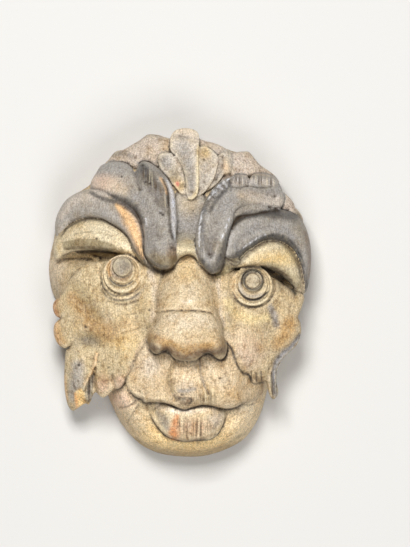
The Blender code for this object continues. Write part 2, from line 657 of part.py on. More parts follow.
def lower_lip():
    """The broad lower lip, with a sloping top and a front worn flat."""
    outline = [
        (-38, -104), (-36, -114), (-35, -121), (-31.5, -128), (-25.5, -136.5), (-19, -143),
        (-10, -146.8), (2, -148.5), (16, -147), (24, -146.8), (31, -143), (36.5, -135), (40, -125),
        (40, -114), (39, -104), (20, -98), (-15, -98),
    ]

    def height(x, y):
        front_edge = -124 - 0.004 * (x - 3) ** 2
        top = 8 * np.clip((y - front_edge) / 12, 0, 1.3) ** 1.2
        flank = 0.02 * np.maximum(0, np.abs(x - 4) - 17) ** 2
        flank = flank + bump(x, y, (-25, -128), (7, 12), 2.5) + bump(x, y, (31, -128), (6, 12), 2.5)
        rims = groove(x, y, [(-34, -116, 2), (-31, -126, 2), (-24, -136, 2)], 1.6)
        rims = rims + groove(x, y, [(38, -114, 2), (38, -124, 2), (34, -135, 2)], 1.6)
        cut_in = groove(x, y, [(1, -124, 0.8), (1.5, -136, 0.9), (2, -146, 1)], 1.8)
        return dome(x, y) + 16 - top - flank + rims - cut_in

    return area(outline, height, edge=2.5)


# Each eye is its centre, its lean to the right in degrees, and its steps, each a radius, a height and a
# shift up the face.
EYES = [
    ((-62.5, 18.3), -9, [
        (20.8, 99.5, 0), (17.6, 103.5, 1.2), (14.4, 107, 2.8), (12.4, 112, 5), (10.4, 115, 5.8),
    ]),
    ((67.5, 6.5), 9, [
        (20.8, 98.5, 0), (17.2, 102, 1), (15.2, 105, 1.6), (12, 109.5, 3), (8, 112, 3.6),
    ]),
]
EYE_LEAN_UP = 9  # degrees


def carve():
    """Every form of the carving, as overlapping closed slabs in one mesh, in parts."""
    carving = bmesh.new()
    slab(carving, head())
    lobes, leaflets = crest()
    for lobe in lobes:
        slab(carving, lobe, 24, 0.8)
    for form in [glabella()] + leaflets:
        slab(carving, form, 26, 1)
    slab(carving, left_side_leaf(), 9, 4)
    slab(carving, right_side_leaf(), 9, 4)
    slab(carving, right_inner_tip(), 12, 3)
    slab(carving, left_lid(), 7, 1)
    slab(carving, right_lid(), 7, 1)
    slab(carving, left_cheek(), 10, 2)
    slab(carving, right_cheek(), 10, 2)
    slab(carving, upper_lip(), 9, 3)
    slab(carving, lower_lip(), 14, 1)
    slab(carving, nose_bridge(), 24, 1)
    slab(carving, nose_tip(), 14, 3)
    slab(carving, right_under_leaf(), 7, 3)
    slab(carving, left_brow_leaf(), 10, 5)
    slab(carving, right_brow_leaf(), 10, 5)
    for centre, lean_right, steps in EYES:
        turned(carving, centre, math.radians(EYE_LEAN_UP), math.radians(lean_right), steps)
    return carving


def wooden_skin(carving):
    """One closed skin around all the forms, cut flat at the back and thinned to the triangles allowed."""
    scale = Matrix.Diagonal((PART, PART, DEPTH_PART, 1))
    carving.transform(scale)
    mesh = bpy.data.meshes.new("foliate_mask")
    carving.to_mesh(mesh)
    carving.free()
    mask = bpy.data.objects.new("foliate_mask", mesh)
    collection = bpy.data.collections.new("Foliate mask")
    bpy.context.scene.collection.children.link(collection)
    collection.objects.link(mask)
    merge = mask.modifiers.new("Merge the forms", "REMESH")
    merge.mode = "VOXEL"
    merge.voxel_size = GRAIN_OF_CLAY
    bake(mask)
    keep_largest_body(mask)
    thin = mask.modifiers.new("Thin the skin", "DECIMATE")
    thin.ratio = min(1, MASK_TRIANGLES / triangle_count(mask.data))
    bake(mask)
    cut_back_flat(mask)
    return mask


def bake(obj):
    """Applies an object's modifiers to its mesh."""
    graph = bpy.context.evaluated_depsgraph_get()
    mesh = bpy.data.meshes.new_from_object(obj.evaluated_get(graph))
    obj.modifiers.clear()
    obj.data = mesh


def triangle_count(mesh):
    return sum(len(polygon.vertices) - 2 for polygon in mesh.polygons)


def keep_largest_body(obj):
    """Deletes the skins of any closed pockets that the forms left inside the wood."""
    skin = bmesh.new()
    skin.from_mesh(obj.data)
    skin.verts.ensure_lookup_table()
    unseen = set(skin.verts)
    bodies = []
    while unseen:
        body = {unseen.pop()}
        edge_of_body = list(body)
        while edge_of_body:
            vertex = edge_of_body.pop()
            for edge in vertex.link_edges:
                other = edge.other_vert(vertex)
                if other not in body:
                    body.add(other)
                    edge_of_body.append(other)
        unseen -= body
        bodies.append(body)
    bodies.sort(key=len)
    for body in bodies[:-1]:
        bmesh.ops.delete(skin, geom=list(body), context="VERTS")
    skin.to_mesh(obj.data)
    skin.free()


def cut_back_flat(obj):
    """Cuts the wood flat at the back and closes the cut."""
    skin = bmesh.new()
    skin.from_mesh(obj.data)
    everything = skin.verts[:] + skin.edges[:] + skin.faces[:]
    cut = bmesh.ops.bisect_plane(
        skin, geom=everything, plane_co=(0, 0, 0), plane_no=(0, 0, 1), clear_inner=True
    )
    rim = [item for item in cut["geom_cut"] if isinstance(item, bmesh.types.BMEdge)]
    bmesh.ops.edgeloop_fill(skin, edges=rim)
    bmesh.ops.recalc_face_normals(skin, faces=skin.faces[:])
    skin.to_mesh(obj.data)
    skin.free()


def painted_wood():
    """Cream paint, worn and dirty, on carved wood."""
    material = bpy.data.materials.new("Painted wood")
    material.use_nodes = True
    surface = material.node_tree.nodes["Principled BSDF"]
    surface.inputs["Base Color"].default_value = (0.45, 0.34, 0.21, 1)
    surface.inputs["Roughness"].default_value = 0.62
    surface.inputs["Metallic"].default_value = 0
    return material


def main():
    for old in list(bpy.data.objects):
        bpy.data.objects.remove(old)
    mask = wooden_skin(carve())
    mask.data.materials.append(painted_wood())
    mask.data.shade_smooth()
    mask.data.set_sharp_from_angle(angle=math.radians(40))


main()
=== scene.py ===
"""A carved foliate mask, dressed: worn cream and grey paint over carved wood, with its cracks and breaks."""

import math
from collections import namedtuple

import bmesh
import bpy
import numpy as np
from mathutils import Matrix, Vector


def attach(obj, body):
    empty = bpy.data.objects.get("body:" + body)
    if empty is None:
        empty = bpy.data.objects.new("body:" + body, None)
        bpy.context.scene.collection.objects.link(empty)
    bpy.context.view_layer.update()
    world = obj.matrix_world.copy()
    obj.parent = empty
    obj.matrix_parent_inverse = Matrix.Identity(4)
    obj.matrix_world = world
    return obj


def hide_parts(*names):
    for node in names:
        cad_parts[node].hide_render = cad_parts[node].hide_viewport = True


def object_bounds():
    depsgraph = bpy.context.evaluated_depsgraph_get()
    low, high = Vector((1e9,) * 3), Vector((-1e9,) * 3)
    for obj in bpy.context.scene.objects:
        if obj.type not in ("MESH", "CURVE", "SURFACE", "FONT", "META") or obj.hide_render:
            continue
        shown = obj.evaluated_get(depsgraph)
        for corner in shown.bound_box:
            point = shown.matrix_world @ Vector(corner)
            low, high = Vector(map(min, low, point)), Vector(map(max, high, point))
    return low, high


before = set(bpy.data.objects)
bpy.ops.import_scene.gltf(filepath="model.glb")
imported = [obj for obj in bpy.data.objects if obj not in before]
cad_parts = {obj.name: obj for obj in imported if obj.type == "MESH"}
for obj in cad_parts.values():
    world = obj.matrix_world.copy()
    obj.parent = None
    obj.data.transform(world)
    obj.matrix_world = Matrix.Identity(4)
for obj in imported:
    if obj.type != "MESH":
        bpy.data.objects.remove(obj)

cad_box = [list(corner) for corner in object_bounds()]

# Driving sizes, in metres, as the frame has them.
MASK_HEIGHT = 0.280
MASK_DEPTH = 0.127
CELL = 0.00078  # cell in which the carved forms are merged into one skin

# The carving is laid out in parts of the mask's height and, in its depth, of its depth.
PARTS_HIGH = 330
PARTS_DEEP = 150
PART = MASK_HEIGHT / PARTS_HIGH
DEPTH_PART = MASK_DEPTH / PARTS_DEEP

GRID_STEP = 0.95
CURVE_STEPS = 6
MASK_TRIANGLES = 194000
SINK = 14

Form = namedtuple("Form", "inside height box")
Touch = namedtuple("Touch", "forms colour strength shape")


def smooth_curve(rows, closed=False):
    """Points of a smooth curve through the rows. Widths and heights in a row are eased along with x and y."""
    rows = np.array(rows, float)
    if closed:
        around = np.vstack([rows[-1], rows, rows[:2]])
    else:
        around = np.vstack([2 * rows[0] - rows[1], rows, 2 * rows[-1] - rows[-2]])
    share = (np.arange(CURVE_STEPS) / CURVE_STEPS)[:, None]
    stretches = []
    for before, start, end, after in zip(around, around[1:], around[2:], around[3:]):
        bend = 2 * before - 5 * start + 4 * end - after
        twist = 3 * start - before - 3 * end + after
        stretches.append(start + 0.5 * share * (end - before + share * (bend + share * twist)))
    if not closed:
        stretches.append(rows[-1:])
    return np.vstack(stretches)


def nearest(curve, x, y, closed=False):
    """Distance from each point to the curve, and the curve's own row at the nearest place."""
    ends = np.roll(curve, -1, axis=0) if closed else curve[1:]
    starts = curve if closed else curve[:-1]
    best = np.full(x.shape, np.inf)
    row = np.zeros(x.shape + (curve.shape[1],))
    for start, end in zip(starts, ends):
        run = end - start
        length_squared = run[0] ** 2 + run[1] ** 2 + 1e-12
        share = ((x - start[0]) * run[0] + (y - start[1]) * run[1]) / length_squared
        share = np.clip(share, 0, 1)
        distance = np.hypot(x - start[0] - share * run[0], y - start[1] - share * run[1])
        closer = distance < best
        best[closer] = distance[closer]
        if curve.shape[1] > 2:
            row[closer] = start + share[closer, None] * run
    return best, row


def dome(x, y):
    """Height of the swelling head that every form sits on. It runs on past the outline, for free tips."""
    across = (x / 155) ** 2
    along = ((y + 5) / 195) ** 2
    return 95 * np.sqrt(np.maximum(0.05, 1 - across - along))


def rounded(inside, radius):
    """What a rounded edge takes off the height, from the whole radius at the edge to nothing inside it."""
    share = 1 - np.clip(inside / radius, 0, 1)
    return radius * (1 - np.sqrt(np.maximum(0, 1 - share**2)))


def bump(x, y, centre, radii, height):
    """A soft swelling, or a hollow where the height is negative."""
    reach = ((x - centre[0]) / radii[0]) ** 2 + ((y - centre[1]) / radii[1]) ** 2
    return height * np.exp(-reach)


def groove(x, y, rows, depth=1.0):
    """What a gouge cuts away along a curve. Each row is x, y, half width."""
    curve = smooth_curve(rows)
    margin = 3 * curve[:, 2].max()
    low, high = box_of(curve, margin)
    near = (x > low[0]) & (x < high[0]) & (y > low[1]) & (y < high[1])
    cut = np.zeros(x.shape)
    if near.any():
        distance, row = nearest(curve, x[near], y[near])
        cut[near] = depth * np.exp(-((distance / row[:, 2]) ** 2))
    return cut


def box_of(curve, margin):
    """Lowest and highest x and y of a curve, with a margin."""
    low = curve[:, :2].min(axis=0) - margin
    high = curve[:, :2].max(axis=0) + margin
    return low, high


def ridge(rows, fall=6, cup=0):
    """Height of a form along a curve. Each row is x, y, half width, rise over the dome.

    The height falls to the sides, by fall at the half width, and cup hollows the middle.
    """
    curve = smooth_curve(rows)

    def height(x, y):
        distance, row = nearest(curve, x, y)
        across = distance / row[:, 2]
        hollow = cup * np.maximum(0, 1 - across**2) ** 2
        return dome(x, y) + row[:, 3] - fall * np.minimum(across, 2) ** 2 - hollow

    return height


def highest(*heights):
    """The highest of several height functions, with the valleys between them filled a little."""
    fillet = 1.5

    def height(x, y):
        return fillet * np.logaddexp.reduce([each(x, y) / fillet for each in heights])

    return height


def finger(rows, crown=6):
    """A round-ended band along a curve. Each row is x, y, half width, rise over the dome."""
    curve = smooth_curve(rows)

    def inside(x, y):
        distance, row = nearest(curve, x, y)
        return row[:, 2] - distance

    def height(x, y, depth_in):
        distance, row = nearest(curve, x, y)
        across = np.clip(distance / row[:, 2], 0, 1)
        roll = 1 - np.sqrt(np.maximum(0, 1 - across**2))
        return dome(x, y) + row[:, 3] - crown * roll

    return Form(inside, height, box_of(curve, curve[:, 2].max()))


def area(rows, height, edge=6):
    """A form inside a closed outline, with its height given by a function and its edge rounded."""
    curve = smooth_curve(rows, closed=True)
    ends = np.roll(curve, -1, axis=0)

    def inside(x, y):
        distance, _ = nearest(curve, x, y, closed=True)
        crossings = np.zeros(x.shape, int)
        for (start_x, start_y), (end_x, end_y) in zip(curve, ends):
            between = (start_y > y) != (end_y > y)
            climb = end_y - start_y if end_y != start_y else 1e-12
            crossings += between & (x < start_x + (y - start_y) * (end_x - start_x) / climb)
        return np.where(crossings % 2 == 1, distance, -distance)

    def shaped(x, y, depth_in):
        return height(x, y) - rounded(depth_in, edge)

    return Form(inside, shaped, box_of(curve, 0))


def slab(carving, form, edge_depth=None, undercut=1.0):
    """Adds a form to the carving as a closed slab, with the gouge marks on its top.

    With an edge_depth its edge stands free, that thick, and its underside falls away inwards by the
    undercut. Without one its sides go straight down through the back.
    """
    (low_x, low_y), (high_x, high_y) = form.box
    columns = math.ceil((high_x - low_x) / GRID_STEP) + 2
    lines = math.ceil((high_y - low_y) / GRID_STEP) + 2
    middle = Matrix.Translation(((low_x + high_x) / 2, (low_y + high_y) / 2, 0))
    spread = Matrix.Diagonal((columns * GRID_STEP / 2, lines * GRID_STEP / 2, 1, 1))
    sheet = bmesh.new()
    bmesh.ops.create_grid(
        sheet, x_segments=columns, y_segments=lines, size=1, matrix=middle @ spread
    )
    points = np.array([vertex.co for vertex in sheet.verts])
    x, y = points[:, 0], points[:, 1]
    inside = form.inside(x, y)
    outside = inside < -0.9 * GRID_STEP
    rim = (inside < 0) & ~outside
    nudge = 0.3
    rim_x, rim_y, rim_inside = x[rim], y[rim], inside[rim]
    slope_x = (form.inside(rim_x + nudge, rim_y) - rim_inside) / nudge
    slope_y = (form.inside(rim_x, rim_y + nudge) - rim_inside) / nudge
    steep = np.maximum(0.3, np.hypot(slope_x, slope_y))
    x[rim] = rim_x - rim_inside * slope_x / steep**2
    y[rim] = rim_y - rim_inside * slope_y / steep**2
    inside[rim] = form.inside(x[rim], y[rim])
    top = form.height(x, y, inside)
    if edge_depth is None:
        bottom = np.full(x.shape, -float(SINK))
    else:
        bottom = np.maximum(top - edge_depth - undercut * np.maximum(0, inside), -SINK)
    top = top - gouge_marks(x, y)
    below = sheet.verts.layers.float.new("below")
    for vertex, new_x, new_y, new_z, under in zip(sheet.verts[:], x, y, top, bottom):
        vertex.co = (new_x, new_y, new_z)
        vertex[below] = under
    doomed = [vertex for vertex, gone in zip(sheet.verts, outside) if gone]
    bmesh.ops.delete(sheet, geom=doomed, context="VERTS")
    made = bmesh.ops.extrude_face_region(sheet, geom=sheet.faces[:], use_keep_orig=True)
    for vertex in made["geom"]:
        if isinstance(vertex, bmesh.types.BMVert):
            vertex.co.z = vertex[below]
    bmesh.ops.recalc_face_normals(sheet, faces=sheet.faces[:])
    add_to(carving, sheet)


def add_to(carving, form):
    """Moves a form's mesh into the carving."""
    mesh = bpy.data.meshes.new("form")
    form.to_mesh(mesh)
    form.free()
    carving.from_mesh(mesh)
    bpy.data.meshes.remove(mesh)


def turned(carving, centre, lean_up, lean_right, steps):
    """Adds a stack of round steps, each (radius, height, shift up the face), leaning up and to the right."""
    lean = Matrix.Rotation(lean_right, 4, "Y") @ Matrix.Rotation(-lean_up, 4, "X")
    drum = 40
    for radius, height, shift in steps:
        top = Matrix.Translation((centre[0], centre[1] + shift, height))
        stack = bmesh.new()
        bmesh.ops.create_cone(
            stack,
            cap_ends=True,
            segments=96,
            radius1=radius + 2,
            radius2=radius - 0.6,
            depth=drum,
            matrix=top @ lean @ Matrix.Translation((0, 0, -drum / 2)),
        )
        add_to(carving, stack)


def waves(x, y, seed, pitch):
    """A smooth, irregular surface between -1 and 1, made of waves that run in many directions."""
    draw = np.random.default_rng(seed)
    total = np.zeros(x.shape)
    for _ in range(7):
        angle, phase = draw.uniform(0, math.tau, 2)
        rate = math.tau / (pitch * draw.uniform(0.7, 1.5))
        bent = x * math.cos(angle) + y * math.sin(angle) + 0.2 * pitch * np.sin(y / pitch + phase)
        total += np.sin(rate * bent + phase)
    return total / 7


WORM_HOLES = [
    (-42, 126, 0.9), (-39, 110, 1.0), (-35, 108, 1.1), (-63, 115, 0.8), (-24, 79, 1.0), (-22, 77, 1.0),
    (-99, -35, 0.9), (-106, -73, 1.0), (-35, -18, 0.8), (-81, -43, 0.7), (-76, -75, 0.7), (-88, 53, 0.8),
    (35, -86, 0.7), (-13, 44, 1.1), (-10, 42, 1.0), (19, 132, 0.7),
]


def gouge_marks(x, y):
    """The fine cuts, cracks and woodworm holes in the top of every form."""
    marks = 0.35 * waves(x, y, 3, 9) + 0.25 * waves(x, y, 5, 4.5)
    for centre_x, centre_y, radius in WORM_HOLES:
        marks = marks + bump(x, y, (centre_x, centre_y), (radius, radius), 3)
    for depth, rows in CRACKS:
        marks = marks + groove(x, y, rows, depth)
    return marks


# Each crack is its depth and a curve of x, y, half width.
CRACKS = [
    (3.8, [(-29, -21, 1.2), (-25, -19.4, 1.3), (-12, -18.4, 1.3), (3, -18.3, 1.3), (18, -19.3, 1.3), (27, -21.3, 1.3), (33, -26, 1.1)]),
    (2.5, [(40, 35, 0.8), (44, 32, 0.9), (50, 30, 0.9), (54, 30, 0.7)]),
    (1.2, [(42, 31, 0.7), (47, 28, 0.7)]),
    (1.4, [(-78, -9, 0.8), (-62, -11.5, 1.1), (-46, -8, 0.9)]),
    (1.2, [(-80, -1, 0.8), (-62, -5.5, 1), (-45, -1, 0.9)]),
    (1.0, [(-62, -22, 0.8), (-52, -22, 0.9), (-42, -19, 0.8)]),
    (1.6, [(-64, -41, 0.9), (-52, -38, 1.1), (-40, -33, 0.9)]),
    (2.2, [(18, -93, 0.7), (18.5, -104, 0.8), (18, -112, 0.7)]),
    (2.0, [(23, -92, 0.7), (23.5, -102, 0.8), (23.5, -112, 0.7)]),
    (1.6, [(-72, -112, 0.9), (-60, -115, 1.2), (-50, -111, 0.9)]),
    (1.3, [(-60, -133, 0.9), (-52, -122, 1.1), (-46, -112, 0.9)]),
]


def core_outline():
    """The head's own outline, clockwise from the crest, without the leaf tips that stand free of it."""
    return [
        (0, 154), (15, 152), (30, 149), (45, 142), (58, 138), (70, 128), (85, 119), (96, 103),
        (108, 84), (119, 62), (124, 40), (123, 12), (119, 0), (114, -20), (105, -46), (94, -68),
        (85, -90), (81, -104), (77, -118), (70, -133), (58, -148), (40, -158), (20, -164), (2, -165),
        (-20, -163), (-35, -158), (-48, -150), (-63, -133), (-72, -116), (-77, -104), (-84, -84),
        (-98, -56), (-116, -28), (-131, -5), (-136, 15), (-136, 34), (-132, 50), (-128, 72),
        (-120, 89), (-108, 99), (-94, 109), (-82, 127), (-72, 136), (-55, 145), (-38, 154), (-18, 154),
    ]


def head():
    """The solid head under the leaves, hollowed at the eyes."""
    sockets = [((-96, 34), (34, 7), -26), ((96, 14), (24, 13), -34)]
    fillings = [
        ((0, -82), (62, 30), 8), ((3, -5), (44, 50), 12), ((0, 110), (46, 34), 3),
        ((0, -150), (60, 14), 4),
    ]
    lower_lids = [
        (4, [(-130, 33, 1.5), (-120, 35.5, 1.8), (-108, 36.5, 2), (-97, 35.5, 2), (-88, 33, 2)]),
        (-1.2, [(-126, 30, 1.2), (-112, 32, 1.6), (-98, 31, 1.8)]),
        (5, [(88, 12, 2), (94, 6, 2.4), (101, -1, 2.8), (107, -8, 3)]),
    ]
    outline = area(core_outline(), lambda x, y: x * 0, edge=1)

    def height(x, y, inside):
        roll = 38 - 19 / (1 + np.exp((y + 86) / 5))
        share = 1 - np.clip(inside / roll, 0, 1)
        top = dome(x, y) * np.sqrt(np.maximum(0, 1 - share**2.4))
        for centre, radii, depth in sockets + fillings:
            top = top + bump(x, y, centre, radii, depth)
        for rise, rows in lower_lids:
            top = top + groove(x, y, rows, rise)
        return top

    return Form(outline.inside, height, outline.box)


def crest():
    """The fluted palmette on the forehead and the broad lobes behind it."""
    left_back = [
        (-70, 136), (-55, 146), (-45, 152), (-37, 157.5), (-27, 157), (-21, 155), (-12, 152),
        (-4, 146), (-6, 130), (-20, 122), (-34, 122), (-50, 124), (-62, 130),
    ]
    left_far = [
        (-78, 126), (-77, 131), (-73, 137), (-68, 141), (-60, 142), (-54, 139), (-50, 134),
        (-54, 126), (-64, 122),
    ]
    right_back = [
        (43, 122), (45, 134), (49, 139), (60, 140.5), (65, 139), (74, 128), (84, 121), (91, 115),
        (94, 108), (86, 102), (70, 104), (54, 108),
    ]
    right_middle = [
        (5, 150), (14, 152.5), (22, 150.5), (33, 147.5), (44, 141), (52, 136), (52, 118), (38, 106),
        (20, 106), (8, 128),
    ]
    right_low = [
        (84, 108), (92, 108), (97, 101), (103, 96), (109, 88), (109, 80), (100, 76), (90, 84),
    ]
    right_end = [(104, 84), (110, 84), (115, 79), (118, 72), (117, 66), (108, 62), (98, 68)]

    def swell(rise, centre, radii, height):
        return lambda x, y: dome(x, y) + rise + bump(x, y, centre, radii, height)

    lobes = [
        area(left_back, swell(1, (-34, 142), (26, 16), 6), 5),
        area(left_far, swell(-2, (-65, 132), (12, 8), 5), 4),
        area(right_middle, swell(0, (30, 132), (14, 18), 3), 4),
        area(right_back, swell(1, (64, 124), (24, 14), 6), 4),
        area(right_low, swell(0, (100, 92), (9, 10), 4), 4),
        area(right_end, swell(2, (110, 74), (7, 9), 5), 4),
    ]
    centre = [
        (5, 92), (1.5, 97), (0.5, 108), (-1.7, 119), (-5, 127.5), (-10, 136), (-14.5, 141),
        (-15, 149), (-14, 156), (-9.5, 161.5), (-2, 163.7), (6.5, 163), (12, 160), (14.3, 155),
        (14, 146), (13.5, 126), (14, 109), (12, 96),
    ]
    left = [
        (1.5, 99), (-4, 98), (-8, 102.5), (-13, 108.5), (-18.5, 117), (-24.5, 123), (-27, 131),
        (-26, 137), (-20.5, 139.5), (-14.5, 138.5), (-8, 133), (-2, 126), (3, 115),
    ]
    right = [
        (8, 95), (8, 110), (9, 130), (11, 142), (19, 146), (24, 144), (30, 139), (33.7, 132.5),
        (31.5, 121), (28, 111), (21, 101), (14, 95),
    ]
    right_small = [
        (20, 100), (26, 112), (30, 124), (33, 135), (38, 139.5), (42, 135), (42, 125), (38, 116),
        (30, 106),
    ]
    knob = [(38, 118), (38, 128), (38, 138), (43, 141), (47.5, 135), (47.5, 124), (44, 118)]

    def flute(rise, rows, depth):
        return lambda x, y: dome(x, y) + rise - groove(x, y, rows, depth)

    def palm(x, y):
        broken_top = 1.5 * (1 + np.tanh((y - 153.5 + 0.12 * x) * 1.2))
        hollow = groove(x, y, [(-3, 158, 9), (-2, 146, 9), (2, 132, 7.5), (6, 118, 5.5), (6.5, 100, 4)], 4.5)
        return dome(x, y) + 13.5 - broken_top - hollow

    leaflets = [
        area(right_small, flute(6.5, [(38, 134, 3), (37, 124, 3), (32, 112, 2.5)], 2.5), 1.5),
        area(knob, swell(5, (42, 130), (3, 8), 3), 3),
        area(left, flute(10, [(-20, 132, 5.5), (-12, 120, 6), (-4, 106, 4)], 3), 2),
        area(right, flute(10, [(21, 140, 5), (22, 126, 6.5), (19, 110, 5), (13, 100, 3)], 3.5), 1.5),
        area(centre, palm, 1.5),
    ]
    return lobes, leaflets


def left_brow_leaf():
    """The great leaf left of the forehead, from its bulb over the nose to its two upper lobes."""
    outline = [
        (-20, 22.5), (-28, 24), (-34, 28.5), (-38.5, 34), (-40.5, 43), (-40.5, 55), (-42.8, 67),
        (-46.5, 76.5), (-53, 84), (-65, 89), (-75, 91.5), (-84, 93), (-90, 97), (-94.5, 104),
        (-93.5, 111), (-89, 119), (-83, 127), (-72, 130), (-60, 129), (-53, 124), (-49.5, 117.5),
        (-47.5, 125), (-43.5, 129.8), (-37.5, 130), (-31, 126.5), (-25, 122), (-17, 113),
        (-12.5, 105), (-10, 97), (-9, 86), (-8, 72), (-8.5, 60), (-9, 50), (-9.5, 42), (-9, 35),
        (-10, 29.5), (-14, 24.5),
    ]
    bulb = [(-20, 41, 19, 47), (-23, 54, 17, 44), (-26, 68, 17, 38)]
    body = [
        (-23, 54, 17, 44.5), (-26, 72, 18, 39), (-29, 90, 19, 33), (-34, 104, 18, 29),
        (-39, 118, 14, 26), (-40, 130, 12, 21),
    ]
    lobe = [(-32, 74, 15, 34), (-46, 95, 17, 28), (-62, 106, 19, 25), (-78, 110, 18, 20), (-93, 107, 14, 11)]
    height = highest(ridge(bulb, 7), ridge(body, 6), ridge(lobe, 6))

    def gouged(x, y):
        along_lobe = [
            (-85, 115, 5), (-70, 114, 7), (-56, 105, 7), (-43, 89, 6), (-33, 70, 5.5), (-27, 56, 4),
        ]
        along_body = [(-39, 122, 5), (-34, 108, 6), (-28, 92, 5)]
        scratched = [(-25, 121, 2), (-20, 110, 2.2), (-17, 99, 2), (-16, 88, 1.4)]
        notch = [(-49, 121, 2.2), (-48, 112, 2.4), (-45, 102, 2)]
        cuts = groove(x, y, along_lobe, 4) + groove(x, y, along_body, 3)
        return height(x, y) - cuts - groove(x, y, scratched, 2.6) - groove(x, y, notch, 4)

    return area(outline, gouged, edge=6)


def right_brow_leaf():
    """The great leaf right of the forehead, which bends over to the side."""
    outline = [
        (28, 17.5), (22, 21), (16, 29), (12, 41), (10.5, 54), (12.5, 70), (16.5, 83), (21.5, 94),
        (29, 104.5), (37, 111.5), (45.5, 115), (51, 117), (57, 117.5), (62, 116), (64.2, 112),
        (67, 116.5), (73, 118.5), (81, 118), (87, 116), (90.5, 113.5), (94.5, 108), (97.5, 101),
        (99.2, 95), (98.5, 89), (95, 84), (88, 84.5), (79, 86), (68, 87), (57, 85.5), (50, 80),
        (48, 70), (45, 61), (41.7, 49), (39.5, 36), (37, 25.5), (33.5, 19.5),
    ]
    body = [
        (26, 30, 13, 44), (25.5, 44, 15, 45), (28, 58, 16, 43), (32, 72, 17, 39), (41, 87, 18, 34),
        (55, 98, 18, 29), (73, 101, 18, 24), (93, 98, 15, 17),
    ]
    height = ridge(body, 5)

    def gouged(x, y):
        hollow = [
            (25, 38, 3.5), (26.5, 54, 5.5), (31, 70, 6.5), (39, 84, 6.5), (52, 94, 6),
            (70, 97.5, 5.5), (88, 96, 5),
        ]
        broken_rim = np.where(x < 64.5, 104 + 0.05 * (x - 55) ** 2, 103.5 + 0.03 * (x - 77) ** 2)
        on_break = np.clip((y - broken_rim) / 1.2, 0, 1) * np.clip((x - 5.8 - 0.36 * y) / 1.5, 0, 1)
        hatch = 0.45 * np.sin(x * math.tau / 2.3 + 0.9 * np.sin(y / 2))
        broken_off = on_break * (0.55 * (y - broken_rim) + 1.2 + hatch)
        between = [(64.6, 117, 1.5), (64, 110, 1.6), (62, 105, 1)]
        torn = [(44, 111, 1.2), (46.5, 106, 1.2), (46, 101, 1)]
        cuts = groove(x, y, hollow, 4.5) + groove(x, y, between, 3.5) + groove(x, y, torn, 3)
        return height(x, y) - cuts - broken_off

    return area(outline, gouged, edge=5)


def right_under_leaf():
    """The turned edge that shows below the right great leaf."""
    outline = [
        (46, 66), (48, 70), (50, 74), (55, 76), (62, 77.5), (72, 78), (79, 79), (83, 84), (80, 90),
        (65, 92), (50, 90), (42, 80), (42, 70),
    ]
    spine = [(46, 70, 7, 28), (54, 82, 8, 25), (66, 85, 8, 22), (82, 85, 8, 18)]
    return area(outline, ridge(spine, 4), edge=3)


def left_side_leaf():
    """The leaf that arches over the left eye's lid."""
    outline = [
        (-128, 52), (-130, 62), (-129, 74), (-124, 85), (-119, 92), (-112, 97), (-103, 101),
        (-93, 103), (-75, 102), (-55, 98), (-40, 88), (-28, 70), (-26, 40), (-30, 24), (-34, 23),
        (-39, 26), (-46, 32), (-51, 40), (-54, 49), (-57, 55), (-64, 62), (-73, 68), (-82, 73),
        (-92, 74.5), (-101, 74), (-111, 70), (-119, 63), (-125, 56),
    ]
    spine = [
        (-127, 64, 9, 11), (-119, 80, 11, 16), (-103, 89, 13, 21), (-85, 89, 14, 23),
        (-68, 80, 14, 25), (-54, 66, 12, 28), (-46, 48, 9, 30), (-38, 30, 6, 27),
    ]
    height = ridge(spine, 5)

    def gouged(x, y):
        above_the_rim = [(-124, 70, 4), (-112, 84, 5), (-96, 89, 5.5), (-78, 85, 5.5), (-63, 74, 4)]
        worn_edge = [(-67, 84, 2.5), (-57, 72, 2.5), (-50, 56, 2.2), (-45, 42, 2)]
        return height(x, y) - groove(x, y, above_the_rim, 2.2) + groove(x, y, worn_edge, 1.5)

    return area(outline, gouged, edge=7)


def right_side_leaf():
    """The leaf that arches over the right eye's lid."""
    outline = [
        (32, 36), (30, 60), (40, 78), (60, 82), (80, 84), (98, 82), (112, 76), (119, 68), (123, 58),
        (125.5, 46), (126, 30), (124, 12), (121, 0), (118, 2), (117, 14), (115, 26), (110, 38),
        (105, 44), (98, 49.5), (90, 51.5), (80, 50), (72, 45), (65, 40), (58, 34), (53, 30),
        (47, 30), (40, 33),
    ]
    spine = [
        (44, 40, 9, 31), (50, 54, 13, 32), (62, 64, 14, 29), (80, 68, 14, 25), (98, 64, 14, 21),
        (112, 50, 12, 16), (120, 26, 8, 11), (122, 4, 5, 5),
    ]
    height = ridge(spine, 5)

    def gouged(x, y):
        above_the_rim = [
            (52, 46, 4), (60, 56, 5), (74, 64, 5.5), (92, 65, 5.5), (108, 56, 5), (117, 38, 3.5),
        ]
        under_the_leaf = [
            (47, 64, 2), (51, 71, 2.2), (59, 75, 2.2), (70, 77, 2.2), (80, 79, 2.5), (92, 80, 3.5),
        ]
        return height(x, y) - groove(x, y, above_the_rim, 3) - groove(x, y, under_the_leaf, 5)

    return area(outline, gouged, edge=7)


def right_inner_tip():
    """The leaf end below the crack, beside the root of the nose."""
    outline = [
        (30, 16), (34, 11), (38, 12), (44, 19), (52, 26), (55, 31), (48, 34), (40, 34), (34, 28),
    ]
    return area(outline, lambda x, y: dome(x, y) + 25 - 0.4 * np.maximum(0, 30 - y), edge=3)


